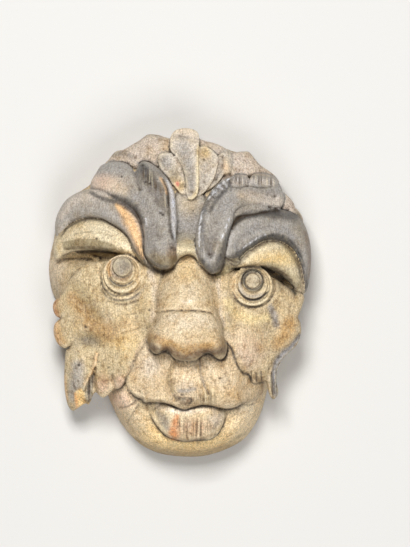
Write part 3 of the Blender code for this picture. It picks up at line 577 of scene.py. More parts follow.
def left_lid():
    """The left upper lid, with a thick lower rim."""
    outline = [
        (-130, 34), (-131, 48), (-127, 58), (-120, 66), (-111, 72), (-100, 76), (-88, 76),
        (-74, 71), (-61, 63), (-52, 54), (-48, 44), (-45, 34), (-46, 30), (-57, 37), (-67, 39.5),
        (-80, 41.5), (-95, 42), (-108, 41), (-118, 38), (-127, 33),
    ]
    spine = [
        (-128, 42, 8, 5), (-117, 52, 12, 10), (-98, 57, 14, 15), (-78, 55, 13, 18),
        (-62, 47, 9, 18), (-52, 37, 6, 14),
    ]
    height = ridge(spine, 6)

    def shape(x, y):
        rim = np.clip((x + 122) / 2, 0, 1) * np.clip((54 - y) / 2, 0, 1) * np.clip((-60 - x) / 20, 0, 1)
        return height(x, y) + 2.5 * rim

    return area(outline, shape, edge=5)


def right_lid():
    """The right upper lid."""
    outline = [
        (43, 24), (48, 33), (55, 40), (63, 46), (72, 51), (81, 54), (91, 54), (103, 50),
        (112, 43), (118, 32), (121, 20), (121, 6), (116, -8), (111, -4), (107, 6), (100, 13),
        (92, 19), (83, 24), (71, 26), (60, 25),
    ]
    spine = [
        (48, 26, 6, 15), (60, 32, 9, 18), (75, 37, 12, 19), (90, 36, 13, 17), (103, 26, 11, 13),
        (111, 6, 8, 8),
    ]
    return area(outline, ridge(spine, 6), edge=5)


def glabella():
    """The smooth field between the two great leaves, which ends in a small boss over the nose."""
    outline = [
        (3, 104), (-8, 98), (-16, 80), (-17, 60), (-18, 46), (-16, 30), (-10, 29), (-5, 34.5), (3, 38),
        (9, 36), (13, 31), (18, 30), (21, 40), (22, 56), (24, 76), (20, 94), (12, 102),
    ]

    def height(x, y):
        rise = 5 + 20 * np.clip((92 - y) / 50, 0, 1) ** 1.5
        boss = bump(x, y, (0, 43), (16, 9), 15) + bump(x, y, (-11, 40), (5, 11), 5)
        return dome(x, y) + rise + 0.012 * (x - 3) ** 2 + boss

    return area(outline, height, edge=3.5)


def left_cheek():
    """The cheek leaf left of the nose, with its lobed edge and the broken tip that hangs free."""
    outline = [
        (-22, 24), (-16, 5), (-16, -16), (-24, -31), (-36, -44), (-45, -56), (-50.5, -68), (-54.5, -79),
        (-58.5, -87), (-62, -93), (-66, -96.5), (-71, -97), (-76, -102), (-81.5, -105.5), (-86, -103),
        (-89, -99.5), (-92.5, -104), (-94.5, -109.5), (-96.5, -112.5), (-99, -111), (-103.5, -113.5),
        (-108.5, -117), (-112.5, -118.8), (-116.5, -114.5), (-118.8, -107.5), (-120.7, -93), (-120.4, -74),
        (-119, -59), (-116, -57), (-112, -51), (-116, -54), (-121, -56), (-127, -52), (-131, -43),
        (-131, -34), (-128, -29), (-124, -26), (-129, -24), (-132, -17), (-131, -10), (-125, -4),
        (-119, 4), (-115, 12), (-108, 21), (-96, 29), (-80, 31), (-60, 33), (-45, 32),
    ]

    def height(x, y):
        swells = [
            ((-72, -18), (40, 24), 3), ((-58, -66), (20, 32), 10), ((-97, -48), (15, 8), -7),
            ((-36, 8), (9, 26), 8), ((-68, 14), (34, 28), 6), ((-33, -24), (9, 15), 9),
            ((-108, -88), (9, 24), 5),
        ]
        swell = dome(x, y) + 9 + sum(bump(x, y, *each) for each in swells)
        tip_ridge = [
            (-88.5, -61, 1.2), (-90.3, -73, 1.4), (-94.5, -83, 1.5), (-99, -91, 1.5), (-101.5, -98, 1.2),
        ]
        tip_vein = [(-111, -57, 1.2), (-105, -62, 1.3), (-101.5, -68, 1.2)]
        splintered = [(-89.5, -75, 1), (-91.5, -81, 2), (-94, -90, 3.2), (-95.5, -99, 4), (-94, -109, 4)]
        between_lobes = [(-72.5, -82, 1), (-72, -90, 1.6), (-69.5, -97, 2)]
        beside_lobe = [(-90, -82, 1.2), (-91, -92, 1.8), (-88.5, -102, 2)]
        cuts = groove(x, y, splintered, 7) + groove(x, y, between_lobes, 3.5) + groove(x, y, beside_lobe, 4)
        raised = groove(x, y, tip_ridge, 3) + groove(x, y, tip_vein, 1.6)
        fresh_break = bump(x, y, (-105, -108), (5, 6), -3)
        ring = np.hypot(x + 62.5, y - 18)
        moat = 2.5 * np.exp(-(((ring - 22) / 1.3) ** 2))
        return swell - cuts + raised + fresh_break - moat

    return area(outline, height, edge=4)


def right_cheek():
    """The cheek leaf right of the nose."""
    outline = [
        (20, 18), (20, 0), (22, -18), (30, -34), (39, -46), (46, -55), (49, -65), (53, -74),
        (58, -79), (63, -81), (65, -87), (69, -91), (75, -90), (81, -89), (82, -96), (84, -102),
        (88, -107), (92, -104), (93, -98), (91, -88), (92, -78), (96, -69), (103, -61), (110, -55),
        (114, -48), (116, -39), (115, -30), (113, -25), (117, -14), (119, -4), (112, 0), (100, 7),
        (90, 13), (75, 20), (50, 22),
    ]

    def height(x, y):
        swells = [
            ((88, -25), (10, 18), -4), ((58, -56), (20, 32), 9), ((40, 5), (8, 26), 7),
            ((72, 4), (30, 26), 6), ((38, -24), (9, 15), 8),
        ]
        swell = dome(x, y) + 9 + sum(bump(x, y, *each) for each in swells)
        folded_side = [
            (115, -43, 2.5), (106, -55, 3.5), (97, -62, 4), (91, -70, 4), (88.5, -80, 3.5),
            (89, -90, 3), (90, -100, 3),
        ]
        hanging = [(84, -76, 1.2), (82.5, -86, 1.5), (83.5, -95, 1.5)]
        teeth = [
            [(66, -80, 0.9), (66.5, -90, 1.2)], [(71, -81, 0.9), (71.5, -92, 1.2)],
            [(76, -80, 0.9), (76.5, -91, 1.2)],
        ]
        swell = swell - groove(x, y, folded_side, 5) - groove(x, y, hanging, 3)
        swell = swell - bump(x, y, (71, -88), (10, 4), 2)
        for tooth in teeth:
            swell = swell - groove(x, y, tooth, 2)
        ring = np.hypot(x - 67.5, y - 6.5)
        moat = 2.5 * np.exp(-(((ring - 22.3) / 1.3) ** 2))
        return swell - moat

    return area(outline, height, edge=4)


def nose_bridge():
    """The saddle of the nose above its crease, which runs out into the cheeks."""
    outline = [
        (-36, 22), (-24, 33), (-10, 38), (4, 41), (16, 38), (28, 32), (40, 20), (43, 4), (42, -10),
        (36, -20.5), (28, -21.5), (16, -19.8), (3, -18.2), (-12, -18.5), (-23, -19.6), (-29, -20.5),
        (-34, -17), (-38, -8), (-38, 8),
    ]

    def height(x, y):
        along = np.clip((40 - y) / 58, 0, 1)
        width = 25 + 9 * along
        across = np.abs(x - 2.5 + 1.5 * along) / width
        side = 26 * np.minimum(across, 2) ** 2.6
        turned_under = 7 * np.clip((along - 0.8) / 0.2, 0, 1) ** 2
        return 103 + 37 * along**0.75 - side - turned_under

    return area(outline, height, edge=2.5)


def nose_tip():
    """The ball of the nose and its two wings, below the crease."""
    outline = [
        (2, -8), (20, -9), (29, -14), (33.5, -23), (36.3, -30), (37.4, -36), (38.5, -43),
        (41.5, -50), (42, -57.5), (39.5, -64.5), (35, -67), (30.5, -64.5), (27, -61.5), (23.5, -60.5),
        (19.5, -60.5), (16.5, -63), (11, -67.3), (2, -68.6), (-7.5, -67.3), (-12, -64.2), (-15, -60.2),
        (-17.5, -57.8), (-21, -58), (-24.5, -60.6), (-28, -61.3), (-32, -59.8), (-35.8, -54.8), (-37.8, -47.5),
        (-37, -41), (-32, -35), (-28, -29), (-27.5, -21), (-23, -13), (-12, -8),
    ]

    def height(x, y):
        rise = np.clip((y + 50) / 34, 0, 1.2) ** 1.5
        under = np.clip((-46 - y) / 23, 0, 1) ** 2
        across = np.minimum(np.abs(x - 1.5) / 40, 1.3)
        ball = 150 - 14 * rise - 17 * under - 28 * across**2.5
        wings = bump(x, y, (-30, -51), (8, 11), 9) + bump(x, y, (34, -54), (8, 12), 9)
        creases = bump(x, y, (-20, -58), (4.5, 8), -3) + bump(x, y, (24, -60), (4.5, 8), -3)
        return ball + wings + creases

    return area(outline, height, edge=6)


def upper_lip():
    """The leafy upper lip, with the column under the nose and its broken middle."""
    outline = [
        (-32, -40), (-46, -54), (-53, -68), (-58, -82), (-58.5, -91), (-56, -97), (-49.5, -103.5),
        (-43.5, -106), (-40, -109.5), (-36.5, -109), (-25.5, -109.5), (-15.5, -111.5), (-8, -114.5),
        (-1, -116.5), (7, -114.7), (15.5, -112.4), (25.5, -112.8), (34, -115), (42, -116), (50, -114.6),
        (58, -110.5), (67, -108), (75, -105), (79, -96), (76, -86), (64, -72), (50, -56), (44, -44),
        (20, -30), (-20, -30),
    ]

    def height(x, y):
        lifted = 15 + 6 * np.clip((-62 - y) / 40, 0, 1) - 3 * np.clip((-104 - y) / 10, 0, 1) ** 2
        lobes = bump(x, y, (-34, -88), (17, 20), 5) + bump(x, y, (38, -92), (18, 20), 5)
        lobes = lobes + bump(x, y, (2, -84), (9, 20), 3.5)
        left = [(-11, -66, 1.8), (-13, -76, 2.4), (-16, -87, 3), (-13, -99, 3), (-8, -108, 2.2)]
        right = [(15, -66, 1.3), (15.5, -78, 1.5), (18.5, -89, 2), (23, -101, 1.6)]
        grooves = groove(x, y, left, 3.5) + groove(x, y, right, 3)
        curled_rim = [(-56, -96, 1.5), (-46, -102.5, 1.8), (-34, -105.5, 1.8), (-20, -107, 1.6)]
        spur = [(-43, -98, 1.2), (-41, -104, 1.6), (-39, -109, 1.4)]
        broken = bump(x, y, (-2, -102), (9, 3.5), -3) + bump(x, y, (0, -108.5), (6, 3.6), 5)
        fade = 22 * np.clip((x - 50) / 28, 0, 1) ** 1.4
        raised = groove(x, y, curled_rim, 1.5) + groove(x, y, spur, 2)
        return dome(x, y) + lifted + lobes - grooves + broken - fade + raised

    return area(outline, height, edge=3)


def lower_lip():
    """The broad lower lip, with a sloping top and a front worn flat."""
    outline = [
        (-38, -104), (-36, -114), (-35, -121), (-31.5, -128), (-25.5, -136.5), (-19, -143),
        (-10, -146.8), (2, -148.5), (16, -147), (24, -146.8), (31, -143), (36.5, -135), (40, -125),
        (40, -114), (39, -104), (20, -98), (-15, -98),
    ]

    def height(x, y):
        front_edge = -124 - 0.004 * (x - 3) ** 2
        top = 8 * np.clip((y - front_edge) / 12, 0, 1.3) ** 1.2
        flank = 0.02 * np.maximum(0, np.abs(x - 4) - 17) ** 2
        flank = flank + bump(x, y, (-25, -128), (7, 12), 2.5) + bump(x, y, (31, -128), (6, 12), 2.5)
        rims = groove(x, y, [(-34, -116, 2), (-31, -126, 2), (-24, -136, 2)], 0.7)
        rims = rims + groove(x, y, [(38, -114, 2), (38, -124, 2), (34, -135, 2)], 1.6)
        cut_in = groove(x, y, [(1, -124, 0.8), (1.5, -136, 0.9), (2, -146, 1)], 1.8)
        return dome(x, y) + 16 - top - flank + rims - cut_in

    return area(outline, height, edge=2.5)


def carve():
    """Every form of the carving, as overlapping closed slabs in one mesh, in parts.

    Returns the mesh, and for each form its name, the form and how deep its wood goes.
    """
    carving = bmesh.new()
    lobes, leaflets = crest()
    plan = [("head", head(), None, 1)]
    plan += [("back lobes", lobe, 24, 0.8) for lobe in lobes]
    plan += [("glabella", glabella(), 26, 1)]
    plan += [("palmette", leaflet, 26, 1) for leaflet in leaflets]
    plan += [
        ("left side leaf", left_side_leaf(), 9, 4),
        ("right side leaf", right_side_leaf(), 9, 4),
        ("inner tip", right_inner_tip(), 12, 3),
        ("left lid", left_lid(), 7, 1),
        ("right lid", right_lid(), 7, 1),
        ("left cheek", left_cheek(), 10, 2),
        ("right cheek", right_cheek(), 10, 2),
        ("upper lip", upper_lip(), 9, 3),
        ("lower lip", lower_lip(), 14, 1),
        ("bridge", nose_bridge(), 24, 1),
        ("tip", nose_tip(), 14, 3),
        ("under leaf", right_under_leaf(), 7, 3),
        ("left leaf", left_brow_leaf(), 10, 5),
        ("right leaf", right_brow_leaf(), 10, 5),
    ]
    painted = []
    for name, form, edge_depth, undercut in plan:
        slab(carving, form, edge_depth, undercut)
        painted.append((name, form, edge_depth or 200))
    for name, (centre_x, centre_y), lean_right, steps in EYES:
        turned(carving, (centre_x, centre_y), math.radians(9), math.radians(lean_right), steps)
        painted.append((name, eye_field(centre_x, centre_y, steps[0][0]), 105))
    return carving, painted


# Each eye is its name, its centre, its lean to the right in degrees, and its steps, each a radius,
# a height and a shift up the face.
EYES = [
    ("left eye", (-62.5, 18.3), -9, [
        (21.8, 99, -3.8), (19.6, 105, 0.2), (16, 107.5, 1.8), (13.2, 110.5, 3.2), (9.9, 115, 7.2),
        (5.6, 114.4, 7.4),
    ]),
    ("right eye", (67.5, 6.5), 9, [
        (20.8, 98.5, 0), (17.8, 101.5, 0.6), (15.2, 105, 1.6), (10.8, 109.5, 4.6), (7.6, 112.5, 4.9),
    ]),
]


def eye_field(centre_x, centre_y, radius):
    """The space of an eye's steps, for painting."""
    margin = radius + 3
    low = np.array([centre_x - margin, centre_y - margin])
    high = np.array([centre_x + margin, centre_y + margin])
    return Form(
        lambda x, y: radius + 1.5 - np.hypot(x - centre_x, y - centre_y),
        lambda x, y, inside: np.full(x.shape, 200.0),
        (low, high),
    )


def wooden_skin(carving):
    """One closed skin around all the forms, cut flat at the back and thinned to the triangles allowed."""
    carving.transform(Matrix.Diagonal((PART, PART, DEPTH_PART, 1)))
    mesh = bpy.data.meshes.new("foliate_mask_carved")
    carving.to_mesh(mesh)
    carving.free()
    mask = bpy.data.objects.new("foliate_mask_carved", mesh)
    bpy.context.scene.collection.objects.link(mask)
    merge = mask.modifiers.new("Merge the forms", "REMESH")
    merge.mode = "VOXEL"
    merge.voxel_size = CELL
    bake(mask)
    keep_largest_body(mask)
    thin = mask.modifiers.new("Thin the skin", "DECIMATE")
    thin.ratio = min(1, MASK_TRIANGLES / triangle_count(mask.data))
    bake(mask)
    cut_back_flat(mask)
    return mask


def bake(obj):
    """Applies an object's modifiers to its mesh."""
    graph = bpy.context.evaluated_depsgraph_get()
    mesh = bpy.data.meshes.new_from_object(obj.evaluated_get(graph))
    obj.modifiers.clear()
    obj.data = mesh


def triangle_count(mesh):
    return sum(len(polygon.vertices) - 2 for polygon in mesh.polygons)


def keep_largest_body(obj):
    """Deletes the skins of any closed pockets that the forms left inside the wood."""
    mesh = obj.data
    ends = np.zeros(2 * len(mesh.edges), int)
    mesh.edges.foreach_get("vertices", ends)
    ends = ends.reshape(-1, 2)
    label = np.arange(len(mesh.vertices))
    while True:
        lowest = label.copy()
        np.minimum.at(lowest, ends[:, 0], label[ends[:, 1]])
        np.minimum.at(lowest, ends[:, 1], label[ends[:, 0]])
        lowest = lowest[lowest]
        if (lowest == label).all():
            break
        label = lowest
    names, sizes = np.unique(label, return_counts=True)
    kept = names[sizes.argmax()]
    skin = bmesh.new()
    skin.from_mesh(mesh)
    doomed = [vertex for vertex, name in zip(skin.verts[:], label) if name != kept]
    bmesh.ops.delete(skin, geom=doomed, context="VERTS")
    skin.to_mesh(mesh)
    skin.free()


def cut_back_flat(obj):
    """Cuts the wood flat at the back and closes the cut."""
    skin = bmesh.new()
    skin.from_mesh(obj.data)
    everything = skin.verts[:] + skin.edges[:] + skin.faces[:]
    cut = bmesh.ops.bisect_plane(
        skin, geom=everything, plane_co=(0, 0, 0), plane_no=(0, 0, 1), clear_inner=True
    )
    rim = [item for item in cut["geom_cut"] if isinstance(item, bmesh.types.BMEdge)]
    bmesh.ops.edgeloop_fill(skin, edges=rim)
    bmesh.ops.recalc_face_normals(skin, faces=skin.faces[:])
    skin.to_mesh(obj.data)
    skin.free()


def tone(red, green, blue):
    """A colour as a screen shows it, from 0 to 255, as the light that a shader takes."""
    share = np.array([red, green, blue]) / 255
    return ((share + 0.055) / 1.055) ** 2.4


CREAM = tone(212, 191, 152)
PALE = tone(208, 195, 180)
LID = tone(224, 209, 176)
NOSE = tone(212, 192, 158)
GREY = tone(158, 154, 149)
DARK_GREY = tone(82, 79, 78)
OCHRE = tone(184, 146, 92)
OLIVE = tone(142, 128, 94)
YELLOW = tone(222, 190, 122)
BROWN = tone(120, 88, 56)
# A dark brown for the hollows, partly soiling and partly painted shade.
DIRT_AND_SHADE_BROWN = tone(58, 45, 32)
BARE = tone(232, 190, 140)
MID_GREY = tone(128, 123, 118)
BLUE_GREY = tone(150, 149, 152)
UMBER = tone(84, 66, 44)
# A near black, painted as shade in holes, cuts and creases and under edges, and as the dark streaks between painted
# highlights.
PAINTED_SHADE_BLACK = tone(44, 34, 24)
PINK = tone(212, 176, 154)
ORANGE = tone(218, 142, 76)
# A pale blue white, painted as highlights along the rims of the leaves.
PAINTED_HIGHLIGHT = tone(222, 224, 230)
RED = tone(216, 120, 108)
BARE_BACK = tone(176, 142, 100)

BASE_PAINT = {
    "head": CREAM, "back lobes": tone(200, 185, 171), "palmette": tone(198, 189, 176), "glabella": GREY,
    "left side leaf": tone(172, 165, 156), "right side leaf": GREY, "inner tip": OLIVE, "left lid": LID,
    "right lid": LID, "left cheek": tone(204, 184, 146), "right cheek": tone(200, 180, 144),
    "upper lip": tone(210, 188, 154),
    "lower lip": tone(222, 202, 164), "bridge": NOSE, "tip": NOSE, "under leaf": GREY, "left leaf": GREY,
    "right leaf": GREY, "left eye": CREAM, "right eye": CREAM,
}

def spot(centre_x, centre_y, radius_x, radius_y):
    return lambda x, y: bump(x, y, (centre_x, centre_y), (radius_x, radius_y), 1)


def stroke(*rows):
    return lambda x, y: groove(x, y, rows)


def patch(*rows):
    """A patch of paint with a crisp edge."""
    inside = area(rows, None).inside
    return lambda x, y: np.clip(0.1 + inside(x, y) / 1.4, 0, 1)


def broken_highlight_stroke(*rows):
    """A stroke broken up into streaks, for the highlights painted along the worn glossy rims."""
    return lambda x, y: groove(x, y, rows) * np.clip(0.65 + 1.8 * waves(x, y, 17, 4), 0, 1)


def ring(centre_x, centre_y, radius, width):
    return lambda x, y: np.exp(-(((np.hypot(x - centre_x, y - centre_y) - radius) / width) ** 2))


def touches():
    """Where the paint, the soiling and the wear change, and where shade and highlights are painted: the forms they lie
    on, colour, strength and shape.
    """
    return [
        # The chin and jaws painted lighter, as painted light where the lips and cheeks shade them.
        Touch("head", tone(255, 222, 160), 1.0, spot(0, -150, 70, 22)),
        Touch("head", tone(246, 224, 186), 1.0, spot(60, -118, 26, 30)),
        Touch("head", tone(232, 208, 170), 0.9, spot(-58, -122, 22, 24)),
        Touch("head", OCHRE, 0.5, stroke((-50, -150, 4), (-20, -160, 4), (10, -161, 4), (44, -154, 3))),
        Touch("right cheek", PALE, 0.35, spot(60, -70, 12, 10)),
        Touch("head", PALE, 0.6, spot(0, 150, 90, 30)),
        Touch("head", tone(232, 212, 184), 0.8, spot(-131, 20, 12, 24)),
        # Painted light on the left jaw, in place of the cheek's shadow.
        Touch("head", tone(246, 214, 188), 0.9, spot(-64, -107, 14, 10)),
        Touch("head", GREY, 0.5, spot(48, -112, 14, 8)),
        Touch("head", OLIVE, 0.4, stroke((-60, -142, 2), (-34, -155, 2.5), (0, -161, 2.5), (32, -157, 2.5), (60, -141, 2))),
        Touch("head", UMBER, 0.45, stroke((-72, -135, 2), (-55, -151, 2.4), (-30, -161, 2.6), (0, -165, 2.6), (30, -162, 2.6), (57, -149, 2))),
        Touch("back lobes", YELLOW, 0.35, spot(-10, 146, 12, 12)),
        Touch("back lobes", MID_GREY, 0.6, stroke((-72, 138, 3), (-60, 138, 3), (-50, 134, 2))),
        Touch("back lobes", DARK_GREY, 0.4, spot(-35, 157, 14, 3)),
        Touch("back lobes", DARK_GREY, 0.7, spot(112, 74, 6, 8)),
        Touch("back lobes", BARE, 0.7, stroke((113, 84, 1.5), (118, 76, 1.5), (118, 68, 1.5))),
        Touch("palmette", tone(224, 210, 192), 0.95, spot(-2, 156, 18, 12)),
        Touch("palmette", GREY, 0.7, spot(-20, 128, 7, 9)),
        Touch("palmette", GREY, 0.6, stroke((-3, 150, 7), (1, 134, 7), (5, 118, 5), (6.5, 104, 3))),
        Touch("palmette", LID, 0.9, stroke((12.8, 146, 1.3), (12.8, 124, 1.8), (12.4, 104, 1.9), (8.5, 95, 2), (4, 93, 1.8))),
        Touch("palmette", YELLOW, 0.6, spot(20, 140, 6, 7)),
        Touch("palmette", OLIVE, 0.55, spot(-11, 116, 6, 9)),
        Touch("palmette", YELLOW, 0.6, spot(-6, 106, 7, 8)),
        Touch("palmette", RED, 0.9, spot(-7.5, 107.5, 2, 2.8)),
        Touch("palmette", PALE, 0.8, stroke((-13, 137, 1), (-8, 131, 1.2), (-3, 124, 1))),
        Touch("palmette", PALE, 0.8, stroke((34, 133, 1.2), (31, 122, 1.2), (29, 113, 1))),
        Touch("palmette", BARE, 0.5, spot(41, 124, 4, 8)),
        Touch("glabella", tone(214, 199, 164), 1.0, spot(2, 42, 17, 14)),
        Touch("glabella", CREAM, 0.45, spot(4, 90, 14, 14)),
        # The left side leaf painted lighter on its upper part and darker on its lower part, where it turns under:
        # painted light and shade.
        Touch("left side leaf", PALE, 0.6, stroke((-124, 76, 4), (-110, 92, 5), (-92, 97, 5), (-76, 95, 4))),
        Touch("left side leaf", tone(158, 154, 150), 0.75, stroke((-122, 60, 3), (-108, 76, 5), (-90, 80, 5), (-74, 74, 5), (-60, 60, 4))),
        Touch("left side leaf", BARE, 1.0, stroke((-67, 87, 3), (-57, 74, 6), (-49, 58, 6.5), (-44, 44, 5), (-40, 36, 3.5))),
        Touch("left side leaf", BROWN, 0.6, stroke((-66, 91, 1), (-52, 80, 1.2), (-44, 64, 1.2), (-42, 46, 1))),
        # The lower rim of the right side leaf, partly dark paint and partly painted shade where it turns under.
        Touch("right side leaf", DARK_GREY, 1.0, stroke((46, 33, 4), (60, 42, 4.5), (74, 50.5, 4.5), (90, 55, 4), (104, 48, 4), (114, 30, 4.5), (120, 6, 5))),
        Touch("right side leaf", tone(64, 62, 61), 0.9, stroke(
            (46, 31, 1.6), (55, 35.5, 2.2), (64, 42.5, 2.6), (72, 48.5, 2.8), (81, 53.5, 2.8), (90, 55.5, 2.8),
            (99, 53.5, 2.8), (107, 47.5, 2.8), (113, 39, 2.5), (117.5, 27, 2.2),
        )),
        # Painted shade in the hollow under the under leaf.
        Touch("right side leaf", tone(70, 66, 62), 0.9, spot(90, 78, 9, 6)),
        # Painted highlight along the rim.
        Touch("right side leaf", PAINTED_HIGHLIGHT, 0.9, broken_highlight_stroke((58, 44, 0.7), (65, 49, 1.1), (73, 54, 1), (80, 57, 0.7))),
        # Painted shade below the under leaf.
        Touch("right side leaf", DARK_GREY, 0.9, stroke((50, 68, 2), (62, 76, 3), (78, 78, 4), (92, 80, 6), (108, 76, 6))),
        Touch("right side leaf", BROWN, 0.5, stroke((120, 60, 2), (124, 40, 2.5), (125, 16, 2.5))),
        Touch("inner tip", DARK_GREY, 0.5, spot(46, 30, 12, 6)),
        Touch("left leaf", PALE, 0.7, stroke((-90, 112, 6), (-76, 106, 8), (-62, 101, 6))),
        Touch("left leaf", tone(222, 198, 170), 0.6, spot(-74, 108, 16, 9)),
        Touch("left leaf", PINK, 0.4, spot(-84, 110, 12, 8)),
        # Painted shade on the lobe's lower rim, where it turns under, and below it on the side leaf.
        Touch("left leaf", DARK_GREY, 0.95, stroke((-92, 100, 3.5), (-76, 94.5, 4.4), (-62, 91.5, 4.4), (-50, 83, 4.4), (-43, 70, 3.6))),
        Touch("left side leaf", DARK_GREY, 0.85, stroke((-94, 99, 2), (-80, 92.5, 2.6), (-67, 89.5, 2.6), (-55, 84, 2.4), (-48, 76, 2))),
        Touch("left leaf", tone(78, 74, 72), 0.9, stroke((-42, 124, 6), (-38, 116, 8), (-33, 107, 6.5))),
        Touch("left leaf", MID_GREY, 0.8, stroke((-31, 104, 7), (-25, 92, 6), (-20, 80, 5))),
        Touch("left leaf", BARE, 0.75, stroke((-24, 113, 1.6), (-20, 106, 1.8), (-18, 98, 1.4))),
        # Painted highlights along the rims, with painted shade beside the right rim.
        Touch("left leaf", tone(204, 206, 216), 0.9, stroke((-16, 110, 2.2), (-12, 96, 3), (-11, 76, 3), (-10, 58, 3))),
        Touch("left leaf", PAINTED_SHADE_BLACK, 0.75, stroke((-22, 112, 1), (-17, 100, 1.2), (-16, 84, 1.4), (-15, 68, 1.6), (-12.5, 54, 1.8))),
        Touch("left leaf", PAINTED_HIGHLIGHT, 1.0, broken_highlight_stroke((-20, 119, 0.8), (-17, 112, 1.1), (-14, 104, 1.1), (-12, 98, 0.8))),
        Touch("left leaf", PAINTED_HIGHLIGHT, 1.0, broken_highlight_stroke((-11.5, 88, 0.8), (-10.5, 76, 1.2), (-10, 62, 1.1), (-10, 52, 0.7))),
        Touch("left leaf", PAINTED_HIGHLIGHT, 1.0, broken_highlight_stroke((-39, 73, 0.6), (-37.5, 64, 1), (-35.5, 55, 0.8))),
        Touch("left leaf", MID_GREY, 0.8, stroke((-36, 64, 4), (-34, 50, 5), (-30, 38, 5))),
        Touch("left leaf", tone(116, 102, 76), 1.0, spot(-17, 31, 22, 11)),
        Touch("left leaf", BROWN, 0.6, spot(-12, 40, 7, 8)),
        Touch("left leaf", MID_GREY, 0.55, spot(-20, 47, 7, 10)),
        # Painted shade under the bulb.
        Touch("left leaf", DARK_GREY, 0.7, stroke((-38, 34, 2), (-30, 27, 2.2), (-18, 25, 2))),
        Touch("right leaf", tone(96, 94, 96), 0.8, stroke((44, 111, 2.4), (33, 104, 3.4), (23, 92, 3.6), (18, 76, 3.4), (17, 58, 3.6), (18, 44, 4))),
        # Painted highlights along the rims.
        Touch("right leaf", PAINTED_HIGHLIGHT, 1.0, broken_highlight_stroke((44, 113, 0.8), (36, 107, 1.3), (29, 100, 1.3), (22, 91, 0.8))),
        Touch("right leaf", PAINTED_HIGHLIGHT, 1.0, broken_highlight_stroke((17.5, 80, 0.7), (15.5, 70, 1.1), (14.5, 58, 1.1), (14.5, 46, 0.8))),
        Touch("right leaf", PAINTED_HIGHLIGHT, 1.0, broken_highlight_stroke((44, 73, 0.7), (41, 64, 1.1), (37, 54, 1), (33, 47, 0.7))),
        # Painted highlights streaked across the rim, with dark painted shade between them.
        Touch("right leaf", PAINTED_HIGHLIGHT, 0.9, stroke((38, 111, 0.7), (42, 105, 0.6))),
        Touch("right leaf", PAINTED_SHADE_BLACK, 0.8, stroke((36, 109, 0.7), (40, 103.5, 0.7))),
        Touch("right leaf", PAINTED_HIGHLIGHT, 0.9, stroke((33, 107, 0.7), (38, 101.5, 0.6))),
        Touch("right leaf", PAINTED_SHADE_BLACK, 0.8, stroke((30.5, 104.5, 0.7), (35.5, 99, 0.7))),
        Touch("right leaf", PAINTED_HIGHLIGHT, 0.9, stroke((27.5, 101.5, 0.7), (32.5, 96.5, 0.6))),
        Touch("right leaf", PAINTED_SHADE_BLACK, 0.8, stroke((24.5, 98, 0.7), (29, 93.5, 0.7))),
        Touch("right leaf", DARK_GREY, 0.9, stroke((46, 112, 1.6), (43, 104, 2), (37, 98, 2.5), (31, 91, 2.5), (25, 80, 2))),
        Touch("right leaf", PALE, 0.6, stroke((52, 116, 1.2), (60, 115.5, 1.2), (72, 117.5, 1.2), (84, 116, 1.2))),
        # Painted shadow below the broken lobes at the top.
        Touch("right leaf", PAINTED_SHADE_BLACK, 0.7, stroke((48, 104.5, 0.9), (55, 103.5, 1), (62, 106, 0.8), (70, 104.5, 1), (80, 104, 1), (88, 106, 0.8))),
        Touch("right leaf", MID_GREY, 0.8, stroke((24, 32, 7), (26, 44, 6), (30, 56, 4))),
        Touch("right leaf", tone(74, 71, 70), 0.85, stroke((17, 32, 3), (25, 23, 5), (33, 26, 5.5), (37, 38, 3.6), (41, 52, 2.6), (46, 64, 2))),
        Touch("right leaf", MID_GREY, 0.5, stroke((48, 102, 2), (60, 101, 2.5), (76, 100, 2.5), (92, 99, 3))),
        # Painted light on the upper part of the leaf, where it bends over and faces up.
        Touch("right leaf", tone(208, 195, 180), 0.6, stroke((54, 98, 4), (68, 95, 6), (82, 92, 6.5), (96, 89, 6))),
        Touch("right leaf", tone(214, 206, 200), 0.75, stroke((50, 110, 4), (62, 111, 4), (74, 111, 4), (88, 110, 4))),
        Touch("under leaf", DARK_GREY, 0.6, stroke((48, 72, 1.5), (56, 77, 1.8), (66, 79, 1.8), (80, 80, 2))),
        Touch("left lid", tone(146, 131, 98), 0.95, patch(
            (-121, 50.5), (-112, 52.8), (-101, 53.6), (-89, 52.9), (-78, 50.5), (-70, 47), (-67, 41),
            (-78, 40.5), (-93, 42), (-109, 42), (-120.5, 41.5),
        )),
        Touch("left lid", UMBER, 0.6, stroke((-120, 43, 1), (-106, 44.5, 1.6), (-92, 44.5, 1.8), (-78, 42.5, 1.6))),
        Touch("left lid", OLIVE, 0.6, stroke((-124, 64, 1.2), (-110, 73, 1.5), (-92, 76, 1.5), (-74, 71, 1.5), (-58, 60, 1.5))),
        Touch("left lid", UMBER, 0.5, stroke((-110, 58, 0.8), (-92, 60, 0.9), (-72, 56, 0.8))),
        Touch("right lid", YELLOW, 0.7, spot(92, 32, 26, 8)),
        Touch("right lid", YELLOW, 0.5, spot(106, 44, 12, 8)),
        # Painted shade, darker towards the lower edge of the right lid.
        Touch("right lid", OLIVE, 0.7, stroke((56, 27, 1.5), (72, 28, 2), (88, 26.5, 2.8), (102, 19, 4.4), (112, 8, 5))),
        Touch("right lid", UMBER, 0.8, stroke((76, 25.5, 1.2), (88, 23.5, 2.2), (98, 17.5, 3), (106, 9, 3.4), (111, 0, 3))),
        Touch("right lid", BROWN, 0.4, stroke((114, 30, 3), (118, 16, 3), (117, 2, 3))),
        Touch("left cheek", OCHRE, 0.35, spot(-55, -35, 12, 10)),
        Touch("left cheek", OCHRE, 0.8, stroke((-112, -6, 7), (-100, -18, 9), (-92, -30, 10), (-78, -40, 10), (-64, -48, 8))),
        # Painted shadow of the left leaf's bulb, on the cheek and the bridge.
        Touch("left cheek", UMBER, 0.45, spot(-38, 19, 8, 5)),
